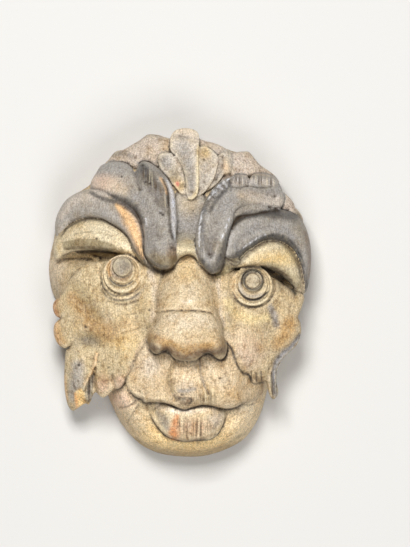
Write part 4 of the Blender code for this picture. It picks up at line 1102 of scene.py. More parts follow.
        Touch("bridge", UMBER, 0.45, spot(-32, 19, 7, 5)),
        Touch("left cheek", OLIVE, 0.45, stroke((-108, 6, 6), (-98, -8, 7), (-86, -24, 7))),
        Touch("left cheek", OLIVE, 0.6, spot(-97, -49, 16, 8)),
        Touch("left cheek", MID_GREY, 0.45, spot(-97, -49, 11, 5)),
        Touch("left cheek", YELLOW, 0.4, spot(-58, -52, 16, 12)),
        Touch("left cheek", PALE, 0.5, stroke((-34, 20, 4), (-30, 4, 4), (-29, -14, 4), (-33, -28, 3))),
        Touch("left cheek", PALE, 0.4, stroke((-66, -4, 4), (-50, -4, 4), (-44, 6, 4))),
        Touch("left cheek", OCHRE, 0.7, stroke((-128, -8, 5), (-129, -22, 5), (-127, -38, 5), (-122, -50, 5))),
        Touch("left cheek", ORANGE, 0.6, stroke((-130, -8, 2.5), (-131, -16, 2.5), (-127, -24, 2))),
        Touch("left cheek", BARE, 0.9, stroke((-129, -32, 3), (-130, -42, 3.5), (-126, -51, 3))),
        Touch("left cheek", BROWN, 0.4, stroke((-118, 8, 1.2), (-124, -3, 1.2), (-130, -12, 1))),
        Touch("left cheek", BLUE_GREY, 0.7, stroke((-107, -74, 7), (-108, -88, 8), (-112, -104, 6))),
        Touch("left cheek", BARE, 0.7, stroke((-88.5, -61, 1.6), (-90.3, -73, 1.8), (-94.5, -83, 1.8), (-100, -92, 1.6))),
        Touch("left cheek", tone(255, 220, 158), 1.0, patch((-111, -101.5), (-103, -96), (-98, -110), (-107, -117))),
        Touch("left cheek", ORANGE, 0.6, stroke((-110, -101, 1), (-108.5, -108, 1.6), (-108, -115, 1.4))),
        Touch("left cheek", BARE, 0.8, stroke((-119.5, -84, 1.6), (-119.5, -98, 1.6), (-117, -108, 1.2))),
        Touch("left cheek", MID_GREY, 0.9, stroke((-92, -84, 2), (-95, -94, 3.5), (-96, -106, 4))),
        Touch("left cheek", PINK, 0.7, spot(-64, -90, 8, 8)),
        Touch("left cheek", PINK, 0.6, spot(-82, -92, 8, 10)),
        Touch("right cheek", tone(228, 204, 150), 0.7, stroke((44, -10, 5), (54, -22, 6), (70, -28, 6), (84, -26, 5))),
        # Painted shade under the right lid's edge.
        Touch("right cheek", tone(110, 92, 62), 0.8, spot(94, 9, 7, 8)),
        Touch("head", tone(110, 92, 62), 0.8, spot(95, 9, 8, 9)),
        Touch("right cheek", OCHRE, 0.85, stroke((104, -30, 7), (100, -42, 8), (92, -52, 6))),
        Touch("right cheek", BLUE_GREY, 0.75, stroke((85, -15, 3), (89, -24, 4), (91, -33, 3))),
        Touch("right cheek", PINK, 0.4, spot(62, -58, 18, 20)),
        Touch("right cheek", PALE, 0.5, stroke((33, 14, 3), (32, -4, 4), (33, -20, 4), (38, -32, 3))),
        Touch("right cheek", BLUE_GREY, 0.95, stroke((115, -43, 2), (106, -55, 3), (98, -62, 3.5), (92, -70, 3.5), (89, -80, 3), (89, -90, 3), (90, -102, 3))),
        # Painted shade in the cuts beside the hanging tip.
        Touch("right cheek", PAINTED_SHADE_BLACK, 0.8, stroke((86.2, -80, 0.6), (86, -92, 0.8), (87.5, -104, 0.7))),
        Touch("right cheek", PAINTED_SHADE_BLACK, 0.6, stroke((89.5, -88, 0.5), (89.2, -96, 0.7), (90, -103, 0.6))),
        Touch("right cheek", BROWN, 0.6, spot(71, -87, 9, 3.5)),
        Touch("right cheek", PALE, 0.5, stroke((83, -84, 1.2), (84, -94, 1.2))),
        # Painted shade at the bottom of the bridge, where it turns under, and on its left side.
        Touch("bridge", OCHRE, 0.55, stroke((-26, -14, 4), (-8, -14, 4), (14, -14, 4), (30, -15, 4))),
        Touch("bridge", MID_GREY, 0.35, stroke((-27, 16, 3), (-28, 0, 3), (-28, -14, 3))),
        Touch("bridge", YELLOW, 0.3, spot(2, 22, 14, 12)),
        # The lower tip and the wings painted darker, partly soiled and partly painted shade where they turn under.
        Touch("tip", OCHRE, 0.9, stroke((-34, -46, 7), (-20, -50, 6), (0, -58, 8), (20, -54, 6), (36, -52, 7))),
        Touch("tip", BROWN, 0.95, stroke((-36, -54, 4.5), (-26, -58, 4), (-14, -58, 4), (0, -66, 4), (16, -60, 4), (28, -60, 4), (38, -58, 4))),
        Touch("tip", UMBER, 0.35, spot(-34, -50, 8, 10)),
        Touch("tip", UMBER, 0.35, spot(39, -52, 8, 11)),
        # The top of the tip painted lighter, as painted light where it faces up.
        Touch("tip", tone(226, 210, 184), 0.7, spot(2, -28, 28, 10)),
        # Painted light under the nose and on the lip's lower right, in place of the nose's shadow.
        Touch("upper lip", tone(238, 214, 178), 0.85, spot(2, -80, 13, 12)),
        Touch("upper lip", tone(240, 212, 168), 0.9, spot(30, -101, 14, 8)),
        Touch("upper lip", PALE, 0.45, spot(-36, -74, 10, 14)),
        Touch("upper lip", PALE, 0.45, spot(2, -94, 8, 7)),
        Touch("upper lip", BROWN, 0.95, stroke((-5, -106, 2.5), (1, -109, 3.6), (6, -107, 2.5))),
        # Painted shade in the broken knob's cavities.
        Touch("upper lip", PAINTED_SHADE_BLACK, 0.8, stroke((-8, -105, 1), (-3, -106.5, 1.6), (1, -105, 1))),
        Touch("upper lip", PAINTED_SHADE_BLACK, 0.8, stroke((4, -105.5, 1), (7, -108, 1.5), (4, -111.5, 1.1))),
        Touch("upper lip", BLUE_GREY, 0.6, stroke((-6, -98, 2), (2, -98, 2), (10, -96, 2))),
        Touch("upper lip", OCHRE, 0.7, spot(50, -102, 10, 9)),
        Touch("upper lip", OLIVE, 0.4, spot(26, -104, 12, 7)),
        Touch("upper lip", OLIVE, 0.5, stroke((-12, -72, 1.5), (-16, -87, 2.5), (-12, -99, 2.5))),
        Touch("upper lip", MID_GREY, 0.55, stroke((15, -70, 1), (15.8, -82, 1.2), (19, -92, 1.4), (22, -99, 1.2))),
        Touch("lower lip", tone(208, 134, 74), 1.0, stroke((-8, -124, 2.4), (-9.5, -130, 4), (-11, -138, 5.6), (-11.5, -147, 6.4))),
        Touch("lower lip", MID_GREY, 0.7, stroke((-27, -120, 3), (-21, -128, 5), (-18, -136, 3.5))),
        Touch("lower lip", tone(222, 208, 192), 0.7, spot(31, -126, 9, 8)),
        Touch("lower lip", MID_GREY, 0.5, stroke((37, -120, 3), (34, -128, 3.5), (28, -138, 3))),
        Touch("lower lip", tone(216, 182, 150), 0.9, spot(8, -135, 18, 10)),
        Touch("lower lip", BROWN, 0.6, stroke((-24, -140, 1.5), (-8, -146, 1.8), (12, -147, 1.8), (30, -142, 1.5))),
        # Painted light on the top of the lower lip, which faces up.
        Touch("lower lip", tone(246, 230, 206), 1.0, stroke((-26, -114, 3.5), (-8, -118, 3.5), (10, -118, 3.5), (30, -115, 3.5))),
        Touch("left eye", tone(124, 116, 106), 1.0, spot(-63, 25.8, 11.5, 11.5)),
        Touch("left eye", DARK_GREY, 0.4, spot(-57.5, 30, 5, 5)),
        Touch("left eye", LID, 0.3, spot(-63, 26, 4.5, 4.5)),
        Touch("left eye", UMBER, 0.45, ring(-63, 25.6, 8.2, 0.8)),
        Touch("left eye", PALE, 0.6, ring(-63, 25.4, 10.6, 0.9)),
        # Painted shadow under the disc.
        Touch("left eye", BROWN, 0.8, stroke((-73, 18, 1), (-68.5, 13.6, 1.6), (-62, 12.4, 1.8), (-56, 14, 1.5), (-53, 18, 1))),
        # Painted shade on the lower sides of the steps, and a painted highlight on the edge between them.
        Touch("left eye", PAINTED_SHADE_BLACK, 0.95, stroke((-75, 14, 0.7), (-71, 9, 1.3), (-63, 6.2, 1.5), (-56.5, 7.6, 1.2), (-51.5, 11, 0.8))),
        Touch("left eye", LID, 0.9, stroke((-79.5, 22, 1.8), (-77, 10, 2), (-69, 1.6, 2), (-58, 0.8, 2), (-49, 8, 1.8))),
        Touch("left eye", PAINTED_SHADE_BLACK, 0.8, stroke((-83, 14, 0.7), (-80.5, 4, 1.1), (-72, -2.8, 1.3), (-60, -3.6, 1.2), (-52, -0.6, 0.8))),
        # Painted highlight along the top of the outer step.
        Touch("left eye", tone(232, 212, 178), 0.9, stroke(
            (-80.5, 20, 1.4), (-77.5, 29, 1.8), (-69.5, 35, 1.8), (-61, 36.6, 1.8), (-52, 34, 1.8), (-45.5, 27, 1.4),
        )),
        # Painted shade from the lid on the top of the ring.
        Touch("left eye", UMBER, 0.25, stroke((-76, 26, 0.9), (-71, 32.5, 0.9), (-63, 35, 0.8), (-55, 33, 0.9))),
        Touch("left eye", tone(206, 160, 102), 0.85, stroke((-74.5, 31, 1.6), (-76, 24, 2.2), (-74.5, 17, 1.8))),
        Touch("left eye", OCHRE, 0.5, stroke((-48, 20, 2), (-47, 8, 2.5), (-54, 0, 2))),
        # Painted shade on the lower side of the outer step.
        Touch("left cheek", PAINTED_SHADE_BLACK, 0.75, stroke((-84, 8, 0.8), (-80, -2, 1.1), (-71, -7.4, 1.2), (-59, -8, 1.2), (-48, -3, 1.1), (-42, 7, 0.8))),
        Touch("left cheek", UMBER, 0.6, stroke((-70, -12, 0.9), (-58, -12.6, 1.2), (-47, -9, 0.9))),
        Touch("right eye", MID_GREY, 0.4, spot(68, 11.5, 12, 12)),
        Touch("right eye", tone(40, 34, 30), 0.9, ring(68, 11.8, 9.5, 1.7)),
        Touch("right eye", tone(48, 42, 38), 1.0, stroke((57, 9, 2.2), (59.5, 17, 3.2), (66, 21.5, 3), (74, 19.5, 2))),
        Touch("right eye", tone(168, 162, 148), 0.9, spot(68, 11.2, 6.5, 6.5)),
        # Painted shade on the lower sides of the steps, and a painted highlight on the edge between them.
        Touch("right eye", PAINTED_SHADE_BLACK, 1.0, stroke((53.5, 2, 1), (60, -5.5, 1.6), (67, -7.8, 1.9), (75, -6, 1.7), (82, 0, 1.1))),
        Touch("right eye", LID, 0.8, stroke((50, 8, 1.4), (52, -3, 1.5), (60, -10.6, 1.6), (71, -11.6, 1.6), (81, -6.5, 1.5))),
        Touch("right eye", PAINTED_SHADE_BLACK, 0.9, stroke((48, -1, 0.9), (54, -10, 1.3), (63, -14.4, 1.5), (73, -14.2, 1.5), (83, -9, 1.3), (88.5, 0, 1))),
        Touch("right eye", BLUE_GREY, 0.6, stroke((54, 7, 2), (58, -1, 2), (67, -4.4, 1.6), (76, -2, 2))),
        Touch("right eye", OCHRE, 0.4, stroke((49, 14, 2), (48.5, 4, 2), (52, -5, 1.8))),
    ]


# The creases and the undersides of edges painted dark as shade: strength, and x, y, half width.
SHADED_CREASES = [
    (0.9, [
        (-38.6, -47.5, 0.7), (-36.8, -54.5, 0.9), (-32.5, -60.6, 1.1), (-27.5, -62.2, 1.1), (-21.5, -59.3, 1.5),
        (-17, -59, 1.5), (-12.5, -64.8, 1), (-7, -68.2, 0.9), (2, -69.4, 0.9), (11, -68.2, 1), (17, -64, 1.2), (20, -61.6, 1.5),
        (24.5, -61.8, 1.6), (30, -65.5, 1.2), (35, -68, 1.1), (40, -65.5, 1.1), (42.6, -58, 0.9),
    ]),
    (0.35, [(-28, -20.6, 0.7), (-12, -18.6, 0.8), (3, -18.4, 0.8), (18, -19.4, 0.8), (28, -21.8, 0.7)]),
    (0.95, [
        (-57, -98, 0.7), (-49.5, -105, 1), (-43.5, -107.4, 1.2), (-40, -110.8, 1.2), (-25.5, -110.8, 1.3),
        (-15.5, -112.8, 1.3), (-8, -116, 1.3), (-1, -118, 1.3), (7, -116, 1.2), (15.5, -113.8, 1.2),
        (25.5, -114, 1.3), (34, -116.2, 1.3), (42, -117.2, 1.2), (50, -116, 1), (57, -112, 0.7),
    ]),
    (0.9, [
        (-41.5, 46, 0.9), (-40.5, 38, 1.1), (-36, 29.5, 1.7), (-29, 22.5, 2.1), (-20, 20.6, 2.3), (-12, 23, 1.9),
        (-8.5, 28.5, 0.9), (-4, 34, 0.6), (3, 36.6, 0.6), (9, 34, 0.6), (13, 28.5, 0.8), (17, 24.5, 1.2), (24, 18.5, 1.4),
        (30, 16.8, 1.4), (35, 19.5, 1.3), (39, 28, 0.9),
    ]),
    (0.6, [(-40, -51, 0.9), (-46.8, -62, 1), (-51.5, -73, 1), (-57.5, -84.5, 1), (-62, -93.5, 1.2), (-67, -97.5, 1.3), (-74, -101, 1.2)]),
    (1.0, [(41.5, -50, 1), (46.5, -57, 1.2), (49.5, -66, 1.3), (53.3, -75, 1.3), (58, -80.5, 1.3), (63.5, -82.5, 1.2), (66, -88, 1.1)]),
    (0.35, [
        (-38.5, -108, 0.8), (-36, -118, 0.9), (-32, -129, 1), (-26, -137.6, 1.1), (-19.5, -144, 1.1), (-10, -147.8, 1),
        (2, -149.4, 1), (16, -148, 0.9), (26, -147, 0.8), (33, -142, 0.7),
    ]),
    (1.0, [
        (-128, 31.5, 0.8), (-120, 36.5, 1.2), (-108, 39.5, 1.9), (-92, 40.5, 2.3), (-78, 39.8, 1.8), (-68, 38.2, 1.1),
    ]),
    (0.8, [
        (-124, 55, 0.8), (-118, 63, 1.1), (-110, 68.5, 1.4), (-100, 72, 1.7), (-91, 72.8, 1.8), (-82, 71, 1.7),
        (-73, 67, 1.4), (-64, 62.5, 1.1), (-57, 55.5, 1), (-53, 48, 1), (-48, 38, 1), (-42, 30, 1), (-36, 24.5, 0.9),
    ]),
    (0.65, [
        (46, 27.5, 1), (52, 28.5, 1.6), (59, 33.5, 2), (65, 39, 2.2), (72, 44.5, 2.2), (80, 48.8, 2),
        (88.5, 50.3, 1.8), (96, 48.5, 2), (103, 43, 2.2), (108.5, 36, 2.2), (113, 26, 1.8), (115.5, 14, 1.2),
    ]),
    (0.9, [(-26.5, -61.4, 0.8), (-21, -59.2, 1.8), (-16.5, -61, 1.4)]),
    (0.9, [(19.5, -62.6, 1.4), (24.5, -61.6, 2), (29, -64.6, 0.9)]),
    (0.7, [(63.5, -81.5, 0.8), (65.5, -87.5, 1), (69, -91.5, 1), (76, -90.5, 1), (81.5, -89.5, 0.8)]),
    (0.7, [(66, -79, 0.6), (66.5, -87, 0.9)]),
    (0.7, [(71, -80, 0.6), (71.5, -89, 0.9)]),
    (0.7, [(76, -79, 0.6), (76.5, -88, 0.9)]),
    (0.6, [(-76, -113, 0.7), (-66, -115.5, 0.8), (-57, -114, 0.8), (-49, -108.5, 0.8)]),
    (0.4, [(-60, -134, 0.7), (-53, -123, 0.8), (-47, -112, 0.7)]),
    (0.45, [(56, -110, 0.8), (63, -113, 0.8), (70, -111, 0.7)]),
    (0.95, [(44, 22.5, 0.8), (56, 24.5, 1), (72, 25, 1.5), (86, 21, 2.6), (97, 14, 3.8), (105, 6, 3.8), (110, -2, 2)]),
    (0.8, [(-55, 38, 0.9), (-44.5, 30.5, 1.1), (-37, 25, 1.5), (-30, 20.5, 2.4), (-22, 18.5, 2)]),
    (0.7, [(-62, 84.5, 0.8), (-52, 78.5, 0.9), (-45.5, 70, 1), (-42.5, 58, 1), (-42, 48, 1)]),
    (0.8, [(-8, 134, 0.5), (-3.5, 126, 0.7), (0, 115, 0.8), (1.5, 104, 0.7)]),
    (0.8, [(-15.5, 143, 0.8), (-12.5, 138.5, 0.9), (-10, 136.5, 0.7)]),
    (0.55, [(9, 94, 0.5), (13, 95.5, 0.6), (24, 101, 0.6), (34, 108, 0.6)]),
    (0.55, [(-27.5, 126, 0.6), (-19.5, 115.8, 0.7), (-8.5, 101.5, 0.7), (0, 93.5, 0.7), (5, 91, 0.6)]),
    (1.0, [(47.5, 66, 1.1), (51.5, 72.5, 1.4), (57, 75.8, 1.4), (68, 77.5, 1.4), (79, 79.5, 1.5), (92, 81.5, 2)]),
]


# Where the wood is torn along its fibres.
TORN_PLACES = [
    ("lower lip", stroke((-2, -130, 6), (6, -136, 11), (18, -136, 10))),
    ("upper lip", spot(23, -104, 7, 10)),
    ("upper lip", spot(12, -106, 4, 6)),
    ("left cheek", stroke((-94, -86, 3), (-96, -96, 4), (-97, -106, 4))),
    ("right cheek", stroke((89, -78, 3), (89, -90, 3.5), (89, -104, 4))),
    ("right leaf", stroke((50, 111, 5), (62, 111, 5), (74, 112, 5), (88, 109, 4))),
    ("left leaf", stroke((-38, 118, 6), (-33, 108, 5), (-22, 100, 4), (-18, 86, 2))),
    ("left side leaf", stroke((-45, 44, 3), (-40, 36, 4), (-37, 30, 3))),
]


def relief(mesh, rounds):
    """How far each point lies below the surface's own smoothed self, in parts: above 0 in a hollow."""
    points, normals, one, other, neighbours = neighbourhood(mesh)
    smooth = points.copy()
    for _ in range(rounds):
        smooth = half_smoothed(smooth, one, other, neighbours)
    return ((smooth - points) * normals).sum(axis=1) / PART


# The rims of the leaves that hands have rubbed shiny: x, y, half width.
GLOSSY_RIMS = [
    [(-17, 112, 2), (-12.5, 98, 2.8), (-11, 80, 2.8), (-10, 62, 2.4), (-9, 50, 1.5)],
    [(-38, 66, 1.2), (-37.5, 58, 1.6), (-36, 50, 1.2)],
    [(44, 112, 2), (33, 104, 2.6), (23, 92, 2.8), (16, 76, 2.6), (13.5, 60, 2.2), (13, 46, 1.6)],
    [(44, 72, 1.6), (42, 62, 2), (39, 52, 2), (36.5, 40, 1.5)],
    [(58, 40, 2), (66, 46, 2.2), (76, 52, 2.2), (88, 55, 2)],
]


def neighbourhood(mesh):
    """The points and normals of a mesh, the two ends of its edges, and how many edges meet at each point."""
    count = len(mesh.vertices)
    points = np.zeros(3 * count)
    mesh.vertices.foreach_get("co", points)
    normals = np.zeros(3 * count)
    mesh.vertex_normals.foreach_get("vector", normals)
    ends = np.zeros(2 * len(mesh.edges), int)
    mesh.edges.foreach_get("vertices", ends)
    one, other = ends.reshape(-1, 2).T
    neighbours = np.maximum(1, np.bincount(one, minlength=count) + np.bincount(other, minlength=count))
    return points.reshape(-1, 3), normals.reshape(-1, 3), one, other, neighbours


def half_smoothed(points, one, other, neighbours):
    """The points, each moved half way to the middle of its neighbours."""
    moved = points.copy()
    for axis in range(3):
        along = points[:, axis]
        total = np.bincount(one, along[other], len(along)) + np.bincount(other, along[one], len(along))
        moved[:, axis] = 0.5 * along + 0.5 * total / neighbours
    return moved


# Where forms run softly into each other: centre x and y, and radii, in parts.
SOFT_PLACES = [
    (-33, 4, 8, 26), (36, 2, 8, 26), (70, -98, 12, 12), (-9.5, 41, 7, 13), (-30, -26, 5, 10), (34, -26, 4, 10),
]


def soften(mask, rounds=55):
    """Smooths the mask's skin in its soft places."""
    mesh = mask.data
    points, _, one, other, neighbours = neighbourhood(mesh)
    x, y = points[:, 0] / PART, points[:, 1] / PART
    share = np.zeros(len(x))
    for centre_x, centre_y, radius_x, radius_y in SOFT_PLACES:
        share = np.maximum(share, bump(x, y, (centre_x, centre_y), (radius_x, radius_y), 1))
    share = np.clip(1.6 * share - 0.2, 0, 1) * (points[:, 2] > 60 * DEPTH_PART)
    for _ in range(rounds):
        points += share[:, None] * (half_smoothed(points, one, other, neighbours) - points)
    mesh.vertices.foreach_set("co", points.ravel())
    mesh.update()


# Hollows where less of the soiling and painted shade is laid: centre x and y, and radii, in parts.
UNDARKENED_HOLLOWS = [
    (-105, -107, 7, 8), (-35, -33, 8, 12), (41, -38, 7, 14), (2, -80, 18, 9), (-36, 2, 8, 18), (38, -2, 8, 18), (-9, 41, 8, 14), (60, -96, 14, 12),
    (-14, -82, 5, 20), (17, -82, 5, 20), (-96, -49, 15, 10),
    (5, 92, 14, 8), (14, 125, 4, 24), (3, 36, 9, 5), (-127, 6, 6, 14), (-66, -106, 9, 12), (-82, -88, 12, 9),
]


def fit_inside(mask, box):
    """Keeps the skin inside the box of the mask's solid, which it may pass by a hair."""
    points = np.zeros(3 * len(mask.data.vertices))
    mask.data.vertices.foreach_get("co", points)
    points = points.reshape(-1, 3)
    low, high = points.min(axis=0), points.max(axis=0)
    allowed_low, allowed_high = np.array(box[0]), np.array(box[1])
    share = np.minimum(1, (allowed_high - allowed_low) / (high - low))
    points = (points - low) * share
    points += np.clip(low, allowed_low, allowed_high - (high - low) * share)
    mask.data.vertices.foreach_set("co", points.ravel())
    mask.data.update()


def paint(mask, painted):
    """Writes each point's paint with its painted shade and highlights, and its soiling, wear and gloss, to the mesh,
    from the forms it belongs to.
    """
    mesh = mask.data
    points = neighbourhood(mesh)[0]
    x, y, z = points[:, 0] / PART, points[:, 1] / PART, points[:, 2] / DEPTH_PART
    owner = np.zeros(len(x), int)
    names = np.array([name for name, _, _ in painted])
    for index, (_, form, thickness) in enumerate(painted):
        (low_x, low_y), (high_x, high_y) = form.box
        near = np.flatnonzero((x > low_x - 2) & (x < high_x + 2) & (y > low_y - 2) & (y < high_y + 2))
        inside = form.inside(x[near], y[near])
        top = form.height(x[near], y[near], inside)
        on = (inside > -1.3) & (z[near] > top - thickness - 1) & (z[near] < top + 3)
        owner[near[on]] = index
    owner_names = names[owner]
    tint = np.array([BASE_PAINT[name] for name in names])[owner]
    uneven = 1 + 0.22 * waves(x, y, 11, 7) + 0.22 * waves(x, y, 13, 3)
    for forms, colour, strength, shape in touches():
        amount = np.clip((shape(x, y) * uneven - 0.1) / 0.75, 0, 1) * strength
        amount = amount * (owner_names == forms)
        tint = tint + (colour - tint) * amount[:, None]
    # The woodworm holes painted dark, as painted shade inside them.
    for centre_x, centre_y, radius in WORM_HOLES:
        amount = bump(x, y, (centre_x, centre_y), (radius + 0.4, radius + 0.4), 1)
        tint = tint + 0.8 * (PAINTED_SHADE_BLACK - tint) * amount[:, None]
    # Painted shade along the creases and under the edges of the forms.
    for strength, rows in SHADED_CREASES:
        amount = np.clip(groove(x, y, rows) * (0.6 + 0.5 * uneven), 0, 1) * strength * (z > 50)
        tint = tint + (PAINTED_SHADE_BLACK - tint) * amount[:, None]
    # Soiling and painted shade, darker the deeper a point lies in a hollow.
    fine, medium, broad = relief(mesh, 5), relief(mesh, 20), relief(mesh, 60)
    dirt_and_shade = 0.9 * np.clip((fine - 0.08) / 0.35, 0, 1) + 0.6 * np.clip((medium - 0.3) / 1.2, 0, 1)
    dirt_and_shade = dirt_and_shade + 0.4 * np.clip((broad - 0.8) / 3, 0, 1)
    on_back = z < 0.8
    dirt_and_shade[on_back] = 0
    tint[on_back] = BARE_BACK
    wear = (np.clip(-fine / 0.5, 0, 1) + 0.15 * np.clip(-broad / 3, 0, 1)) * ~on_back
    for place in UNDARKENED_HOLLOWS:
        dirt_and_shade = dirt_and_shade * (1 - bump(x, y, place[:2], place[2:], 0.9))
    leafy = np.isin(owner_names, ["glabella", "left leaf", "right leaf", "under leaf", "right side leaf", "left side leaf"])
    wear = wear * np.where(leafy, 0.4, 1)
    gloss = 0.4 * (leafy & (owner_names != "glabella")) + bump(x, y, (4, -9), (10, 5), 0.9)
    torn = np.zeros(len(x))
    for forms, shape in TORN_PLACES:
        torn = np.maximum(torn, np.clip(1.3 * shape(x, y) - 0.1, 0, 1) * (owner_names == forms))
    for rows in GLOSSY_RIMS:
        gloss = gloss + leafy * groove(x, y, rows)
    add_values(mesh, "tint", np.column_stack([tint, np.ones(len(x))]))
    add_values(mesh, "dirt_and_shade", np.clip(dirt_and_shade, 0, 1))
    add_values(mesh, "wear", np.clip(wear, 0, 1))
    smooth = np.isin(owner_names, ["palmette", "left lid", "right lid"])
    turned = np.isin(owner_names, ["left eye", "right eye", "lower lip", "bridge", "tip"])
    dust = np.where(leafy, 0.3, np.where(smooth, 0.55, np.where(turned, 0.7, 0.9)))
    add_values(mesh, "dust", np.where(on_back, 0.9, dust))
    add_values(mesh, "torn", torn)
    add_values(mesh, "gloss", np.clip(gloss, 0, 1) * ~on_back)


def add_values(mesh, name, values):
    """Stores one value or colour for each point of a mesh."""
    kind, field = ("FLOAT_COLOR", "color") if values.ndim == 2 else ("FLOAT", "value")
    layer = mesh.attributes.new(name, kind, "POINT")
    layer.data.foreach_set(field, values.ravel().astype(np.float32))


class Nodes:
    """Short ways to add and join a material's nodes."""

    def __init__(self, material):
        material.use_nodes = True
        self.tree = material.node_tree
        self.surface = self.tree.nodes["Principled BSDF"]

    def add(self, kind, **settings):
        node = self.tree.nodes.new(kind)
        for name, value in settings.items():
            setattr(node, name, value)
        return node

    def feed(self, socket, value):
        if hasattr(value, "links"):
            self.tree.links.new(value, socket)
        else:
            socket.default_value = value

    def stored(self, name, output="Fac"):
        return self.add("ShaderNodeAttribute", attribute_name=name).outputs[output]

    def noise(self, stretch, detail=4, roughness=0.55):
        place = self.add("ShaderNodeTexCoord").outputs["Object"]
        mapping = self.add("ShaderNodeMapping")
        self.feed(mapping.inputs["Vector"], place)
        mapping.inputs["Scale"].default_value = stretch
        noise = self.add("ShaderNodeTexNoise")
        self.feed(noise.inputs["Vector"], mapping.outputs["Vector"])
        noise.inputs["Scale"].default_value = 1
        noise.inputs["Detail"].default_value = detail
        noise.inputs["Roughness"].default_value = roughness
        return noise.outputs["Fac"]

    def math(self, operation, first, second, third=None, clamp=False):
        node = self.add("ShaderNodeMath", operation=operation, use_clamp=clamp)
        self.feed(node.inputs[0], first)
        self.feed(node.inputs[1], second)
        if third is not None:
            self.feed(node.inputs[2], third)
        return node.outputs[0]

    def ramp(self, value, low, high, out_low=0.0, out_high=1.0):
        node = self.add("ShaderNodeMapRange", clamp=True)
        self.feed(node.inputs["Value"], value)
        for name, number in zip(("From Min", "From Max", "To Min", "To Max"), (low, high, out_low, out_high)):
            node.inputs[name].default_value = number
        return node.outputs["Result"]

    def mix(self, amount, one, other, blend="MIX"):
        node = self.add("ShaderNodeMix", data_type="RGBA", blend_type=blend)
        self.feed(node.inputs[0], amount)
        for socket, value in ((node.inputs[6], one), (node.inputs[7], other)):
            self.feed(socket, value if hasattr(value, "links") else (*value, 1))
        return node.outputs[2]


def painted_wood():
    """Old paint on carved wood: blotchy and specked, darker in the hollows, partly soiled and partly painted shade, and
    rubbed on the edges.
    """
    material = bpy.data.materials.new("Painted wood")
    n = Nodes(material)
    blotches = n.noise((55, 45, 55), 4, 0.6)
    greys = n.noise((80, 62, 80), 4, 0.65)
    patches = n.noise((210, 170, 210), 4, 0.7)
    fibres = n.noise((850, 75, 850), 3, 0.6)
    grit = n.noise((780, 700, 780), 2, 0.7)
    dust = n.stored("dust")
    colour = n.stored("tint", "Color")
    colour = n.mix(n.ramp(blotches, 0.45, 0.72, 0, 0.5), colour, tuple(tone(218, 192, 136)), "MULTIPLY")
    colour = n.mix(n.math("MULTIPLY", dust, n.ramp(greys, 0.5, 0.75, 0, 0.35)), colour, tuple(GREY))
    stained = n.math("MULTIPLY", dust, n.ramp(patches, 0.34, 0.52, 0.4, 0))
    colour = n.mix(stained, colour, tuple(tone(190, 164, 112)), "MULTIPLY")
    colour = n.mix(n.math("MULTIPLY", dust, n.ramp(patches, 0.55, 0.75, 0, 0.28)), colour, tuple(LID))
    colour = n.mix(n.ramp(fibres, 0.35, 0.6, 0.3, 0), colour, tuple(BROWN), "MULTIPLY")
    strands = n.noise((560, 16, 16), 2, 0.5)
    colour = n.mix(n.math("MULTIPLY", n.stored("torn"), n.ramp(strands, 0.5, 0.4, 0, 0.75)), colour, tuple(UMBER))
    colour = n.mix(n.math("MULTIPLY", n.stored("torn"), n.ramp(strands, 0.54, 0.64, 0, 0.4)), colour, tuple(LID))
    colour = n.mix(n.ramp(dust, 0.3, 1, 0.8, 1), colour, n.ramp(grit, 0.3, 0.7, 0.52, 1.48), "MULTIPLY")
    grime_specks = n.math("MULTIPLY", dust, n.ramp(patches, 0.3, 0.46, 0.5, 0))
    colour = n.mix(grime_specks, colour, tuple(tone(150, 128, 92)), "MULTIPLY")
    rubbed = n.math("MULTIPLY", n.stored("wear"), n.ramp(patches, 0.35, 0.6), clamp=True)
    colour = n.mix(n.math("MULTIPLY", rubbed, 0.55), colour, tuple(LID))
    # The hollows darkened, partly soiled and partly painted shade.
    shade_and_grime = n.math("MULTIPLY", n.stored("dirt_and_shade"), n.ramp(patches, 0.3, 0.65, 1.25, 0.7), clamp=True)
    colour = n.mix(shade_and_grime, colour, tuple(DIRT_AND_SHADE_BROWN))
    n.feed(n.surface.inputs["Base Color"], colour)
    matt = n.ramp(patches, 0.3, 0.7, 0.6, 0.78)
    shiny = n.math("MULTIPLY", n.stored("gloss"), n.ramp(greys, 0.3, 0.6, 0.42, 0.52))
    n.feed(n.surface.inputs["Roughness"], n.math("SUBTRACT", matt, shiny, clamp=True))
    n.surface.inputs["Specular IOR Level"].default_value = 0.45
    height = n.math("ADD", n.math("MULTIPLY", fibres, 0.5), n.math("MULTIPLY", grit, 0.5))
    height = n.math("ADD", height, n.math("MULTIPLY", patches, 0.8))
    height = n.math("MULTIPLY", height, n.ramp(dust, 0.3, 1, 0.45, 1))
    height = n.math("MULTIPLY", height, n.ramp(n.stored("gloss"), 0.4, 1, 1, 0.25))
    height = n.math("ADD", height, n.math("MULTIPLY", n.stored("torn"), n.math("MULTIPLY", strands, 4)))
    bumps = n.add("ShaderNodeBump")
    bumps.inputs["Strength"].default_value = 0.8
    bumps.inputs["Distance"].default_value = 0.0008
    n.feed(bumps.inputs["Height"], height)
    n.feed(n.surface.inputs["Normal"], bumps.outputs["Normal"])
    return material


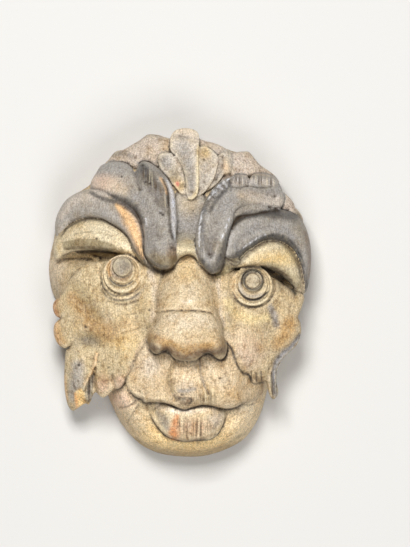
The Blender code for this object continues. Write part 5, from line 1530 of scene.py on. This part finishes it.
def studio():
    """A pale floor, a broad soft lamp above the crest, a fill over the camera, and the camera itself."""
    scene = bpy.context.scene
    floor = bpy.data.meshes.new("floor")
    floor.from_pydata([(-6, -6, 0), (6, -6, 0), (6, 6, 0), (-6, 6, 0)], [], [(0, 1, 2, 3)])
    floor = bpy.data.objects.new("floor", floor)
    scene.collection.objects.link(floor)
    pale = bpy.data.materials.new("Pale floor")
    pale.use_nodes = True
    surface = pale.node_tree.nodes["Principled BSDF"]
    surface.inputs["Base Color"].default_value = (0.62, 0.61, 0.59, 1)
    surface.inputs["Roughness"].default_value = 0.9
    floor.data.materials.append(pale)
    lamps = [
        ("key", (-0.2, 0.85, 2.35), 0.7, 62.5),
        ("fill", (0.4, -1.3, 2.3), 1.5, 36),
    ]
    for name, place, size, power in lamps:
        light = bpy.data.lights.new(name, "AREA")
        light.size = size
        light.energy = power
        lamp = bpy.data.objects.new(name, light)
        lamp.location = place
        lamp.rotation_euler = (-Vector(place)).to_track_quat("-Z", "Y").to_euler()
        scene.collection.objects.link(lamp)
    world = bpy.data.worlds.new("Studio")
    world.use_nodes = True
    world.node_tree.nodes["Background"].inputs["Color"].default_value = (1, 0.98, 0.95, 1)
    world.node_tree.nodes["Background"].inputs["Strength"].default_value = 0.15
    scene.world = world
    scene.view_settings.view_transform = "Standard"
    camera = bpy.data.cameras.new("camera")
    camera = bpy.data.objects.new("camera", camera)
    distance, frame_parts = 12.0, 547
    camera.location = (20 * PART, 18.5 * PART, 0.03 + distance)
    camera.data.sensor_fit = "VERTICAL"
    camera.data.sensor_height = 36
    camera.data.lens = 36 * distance / (frame_parts * PART)
    scene.collection.objects.link(camera)
    scene.camera = camera


carving, painted = carve()
mask = wooden_skin(carving)
soften(mask)
fit_inside(mask, cad_box)
paint(mask, painted)
mask.data.materials.clear()
mask.data.materials.append(painted_wood())
mask.data.shade_smooth()
for face in mask.data.polygons:
    if face.center.z < 1e-5:
        face.use_smooth = False
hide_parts("foliate_mask")
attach(mask, "root")
studio()
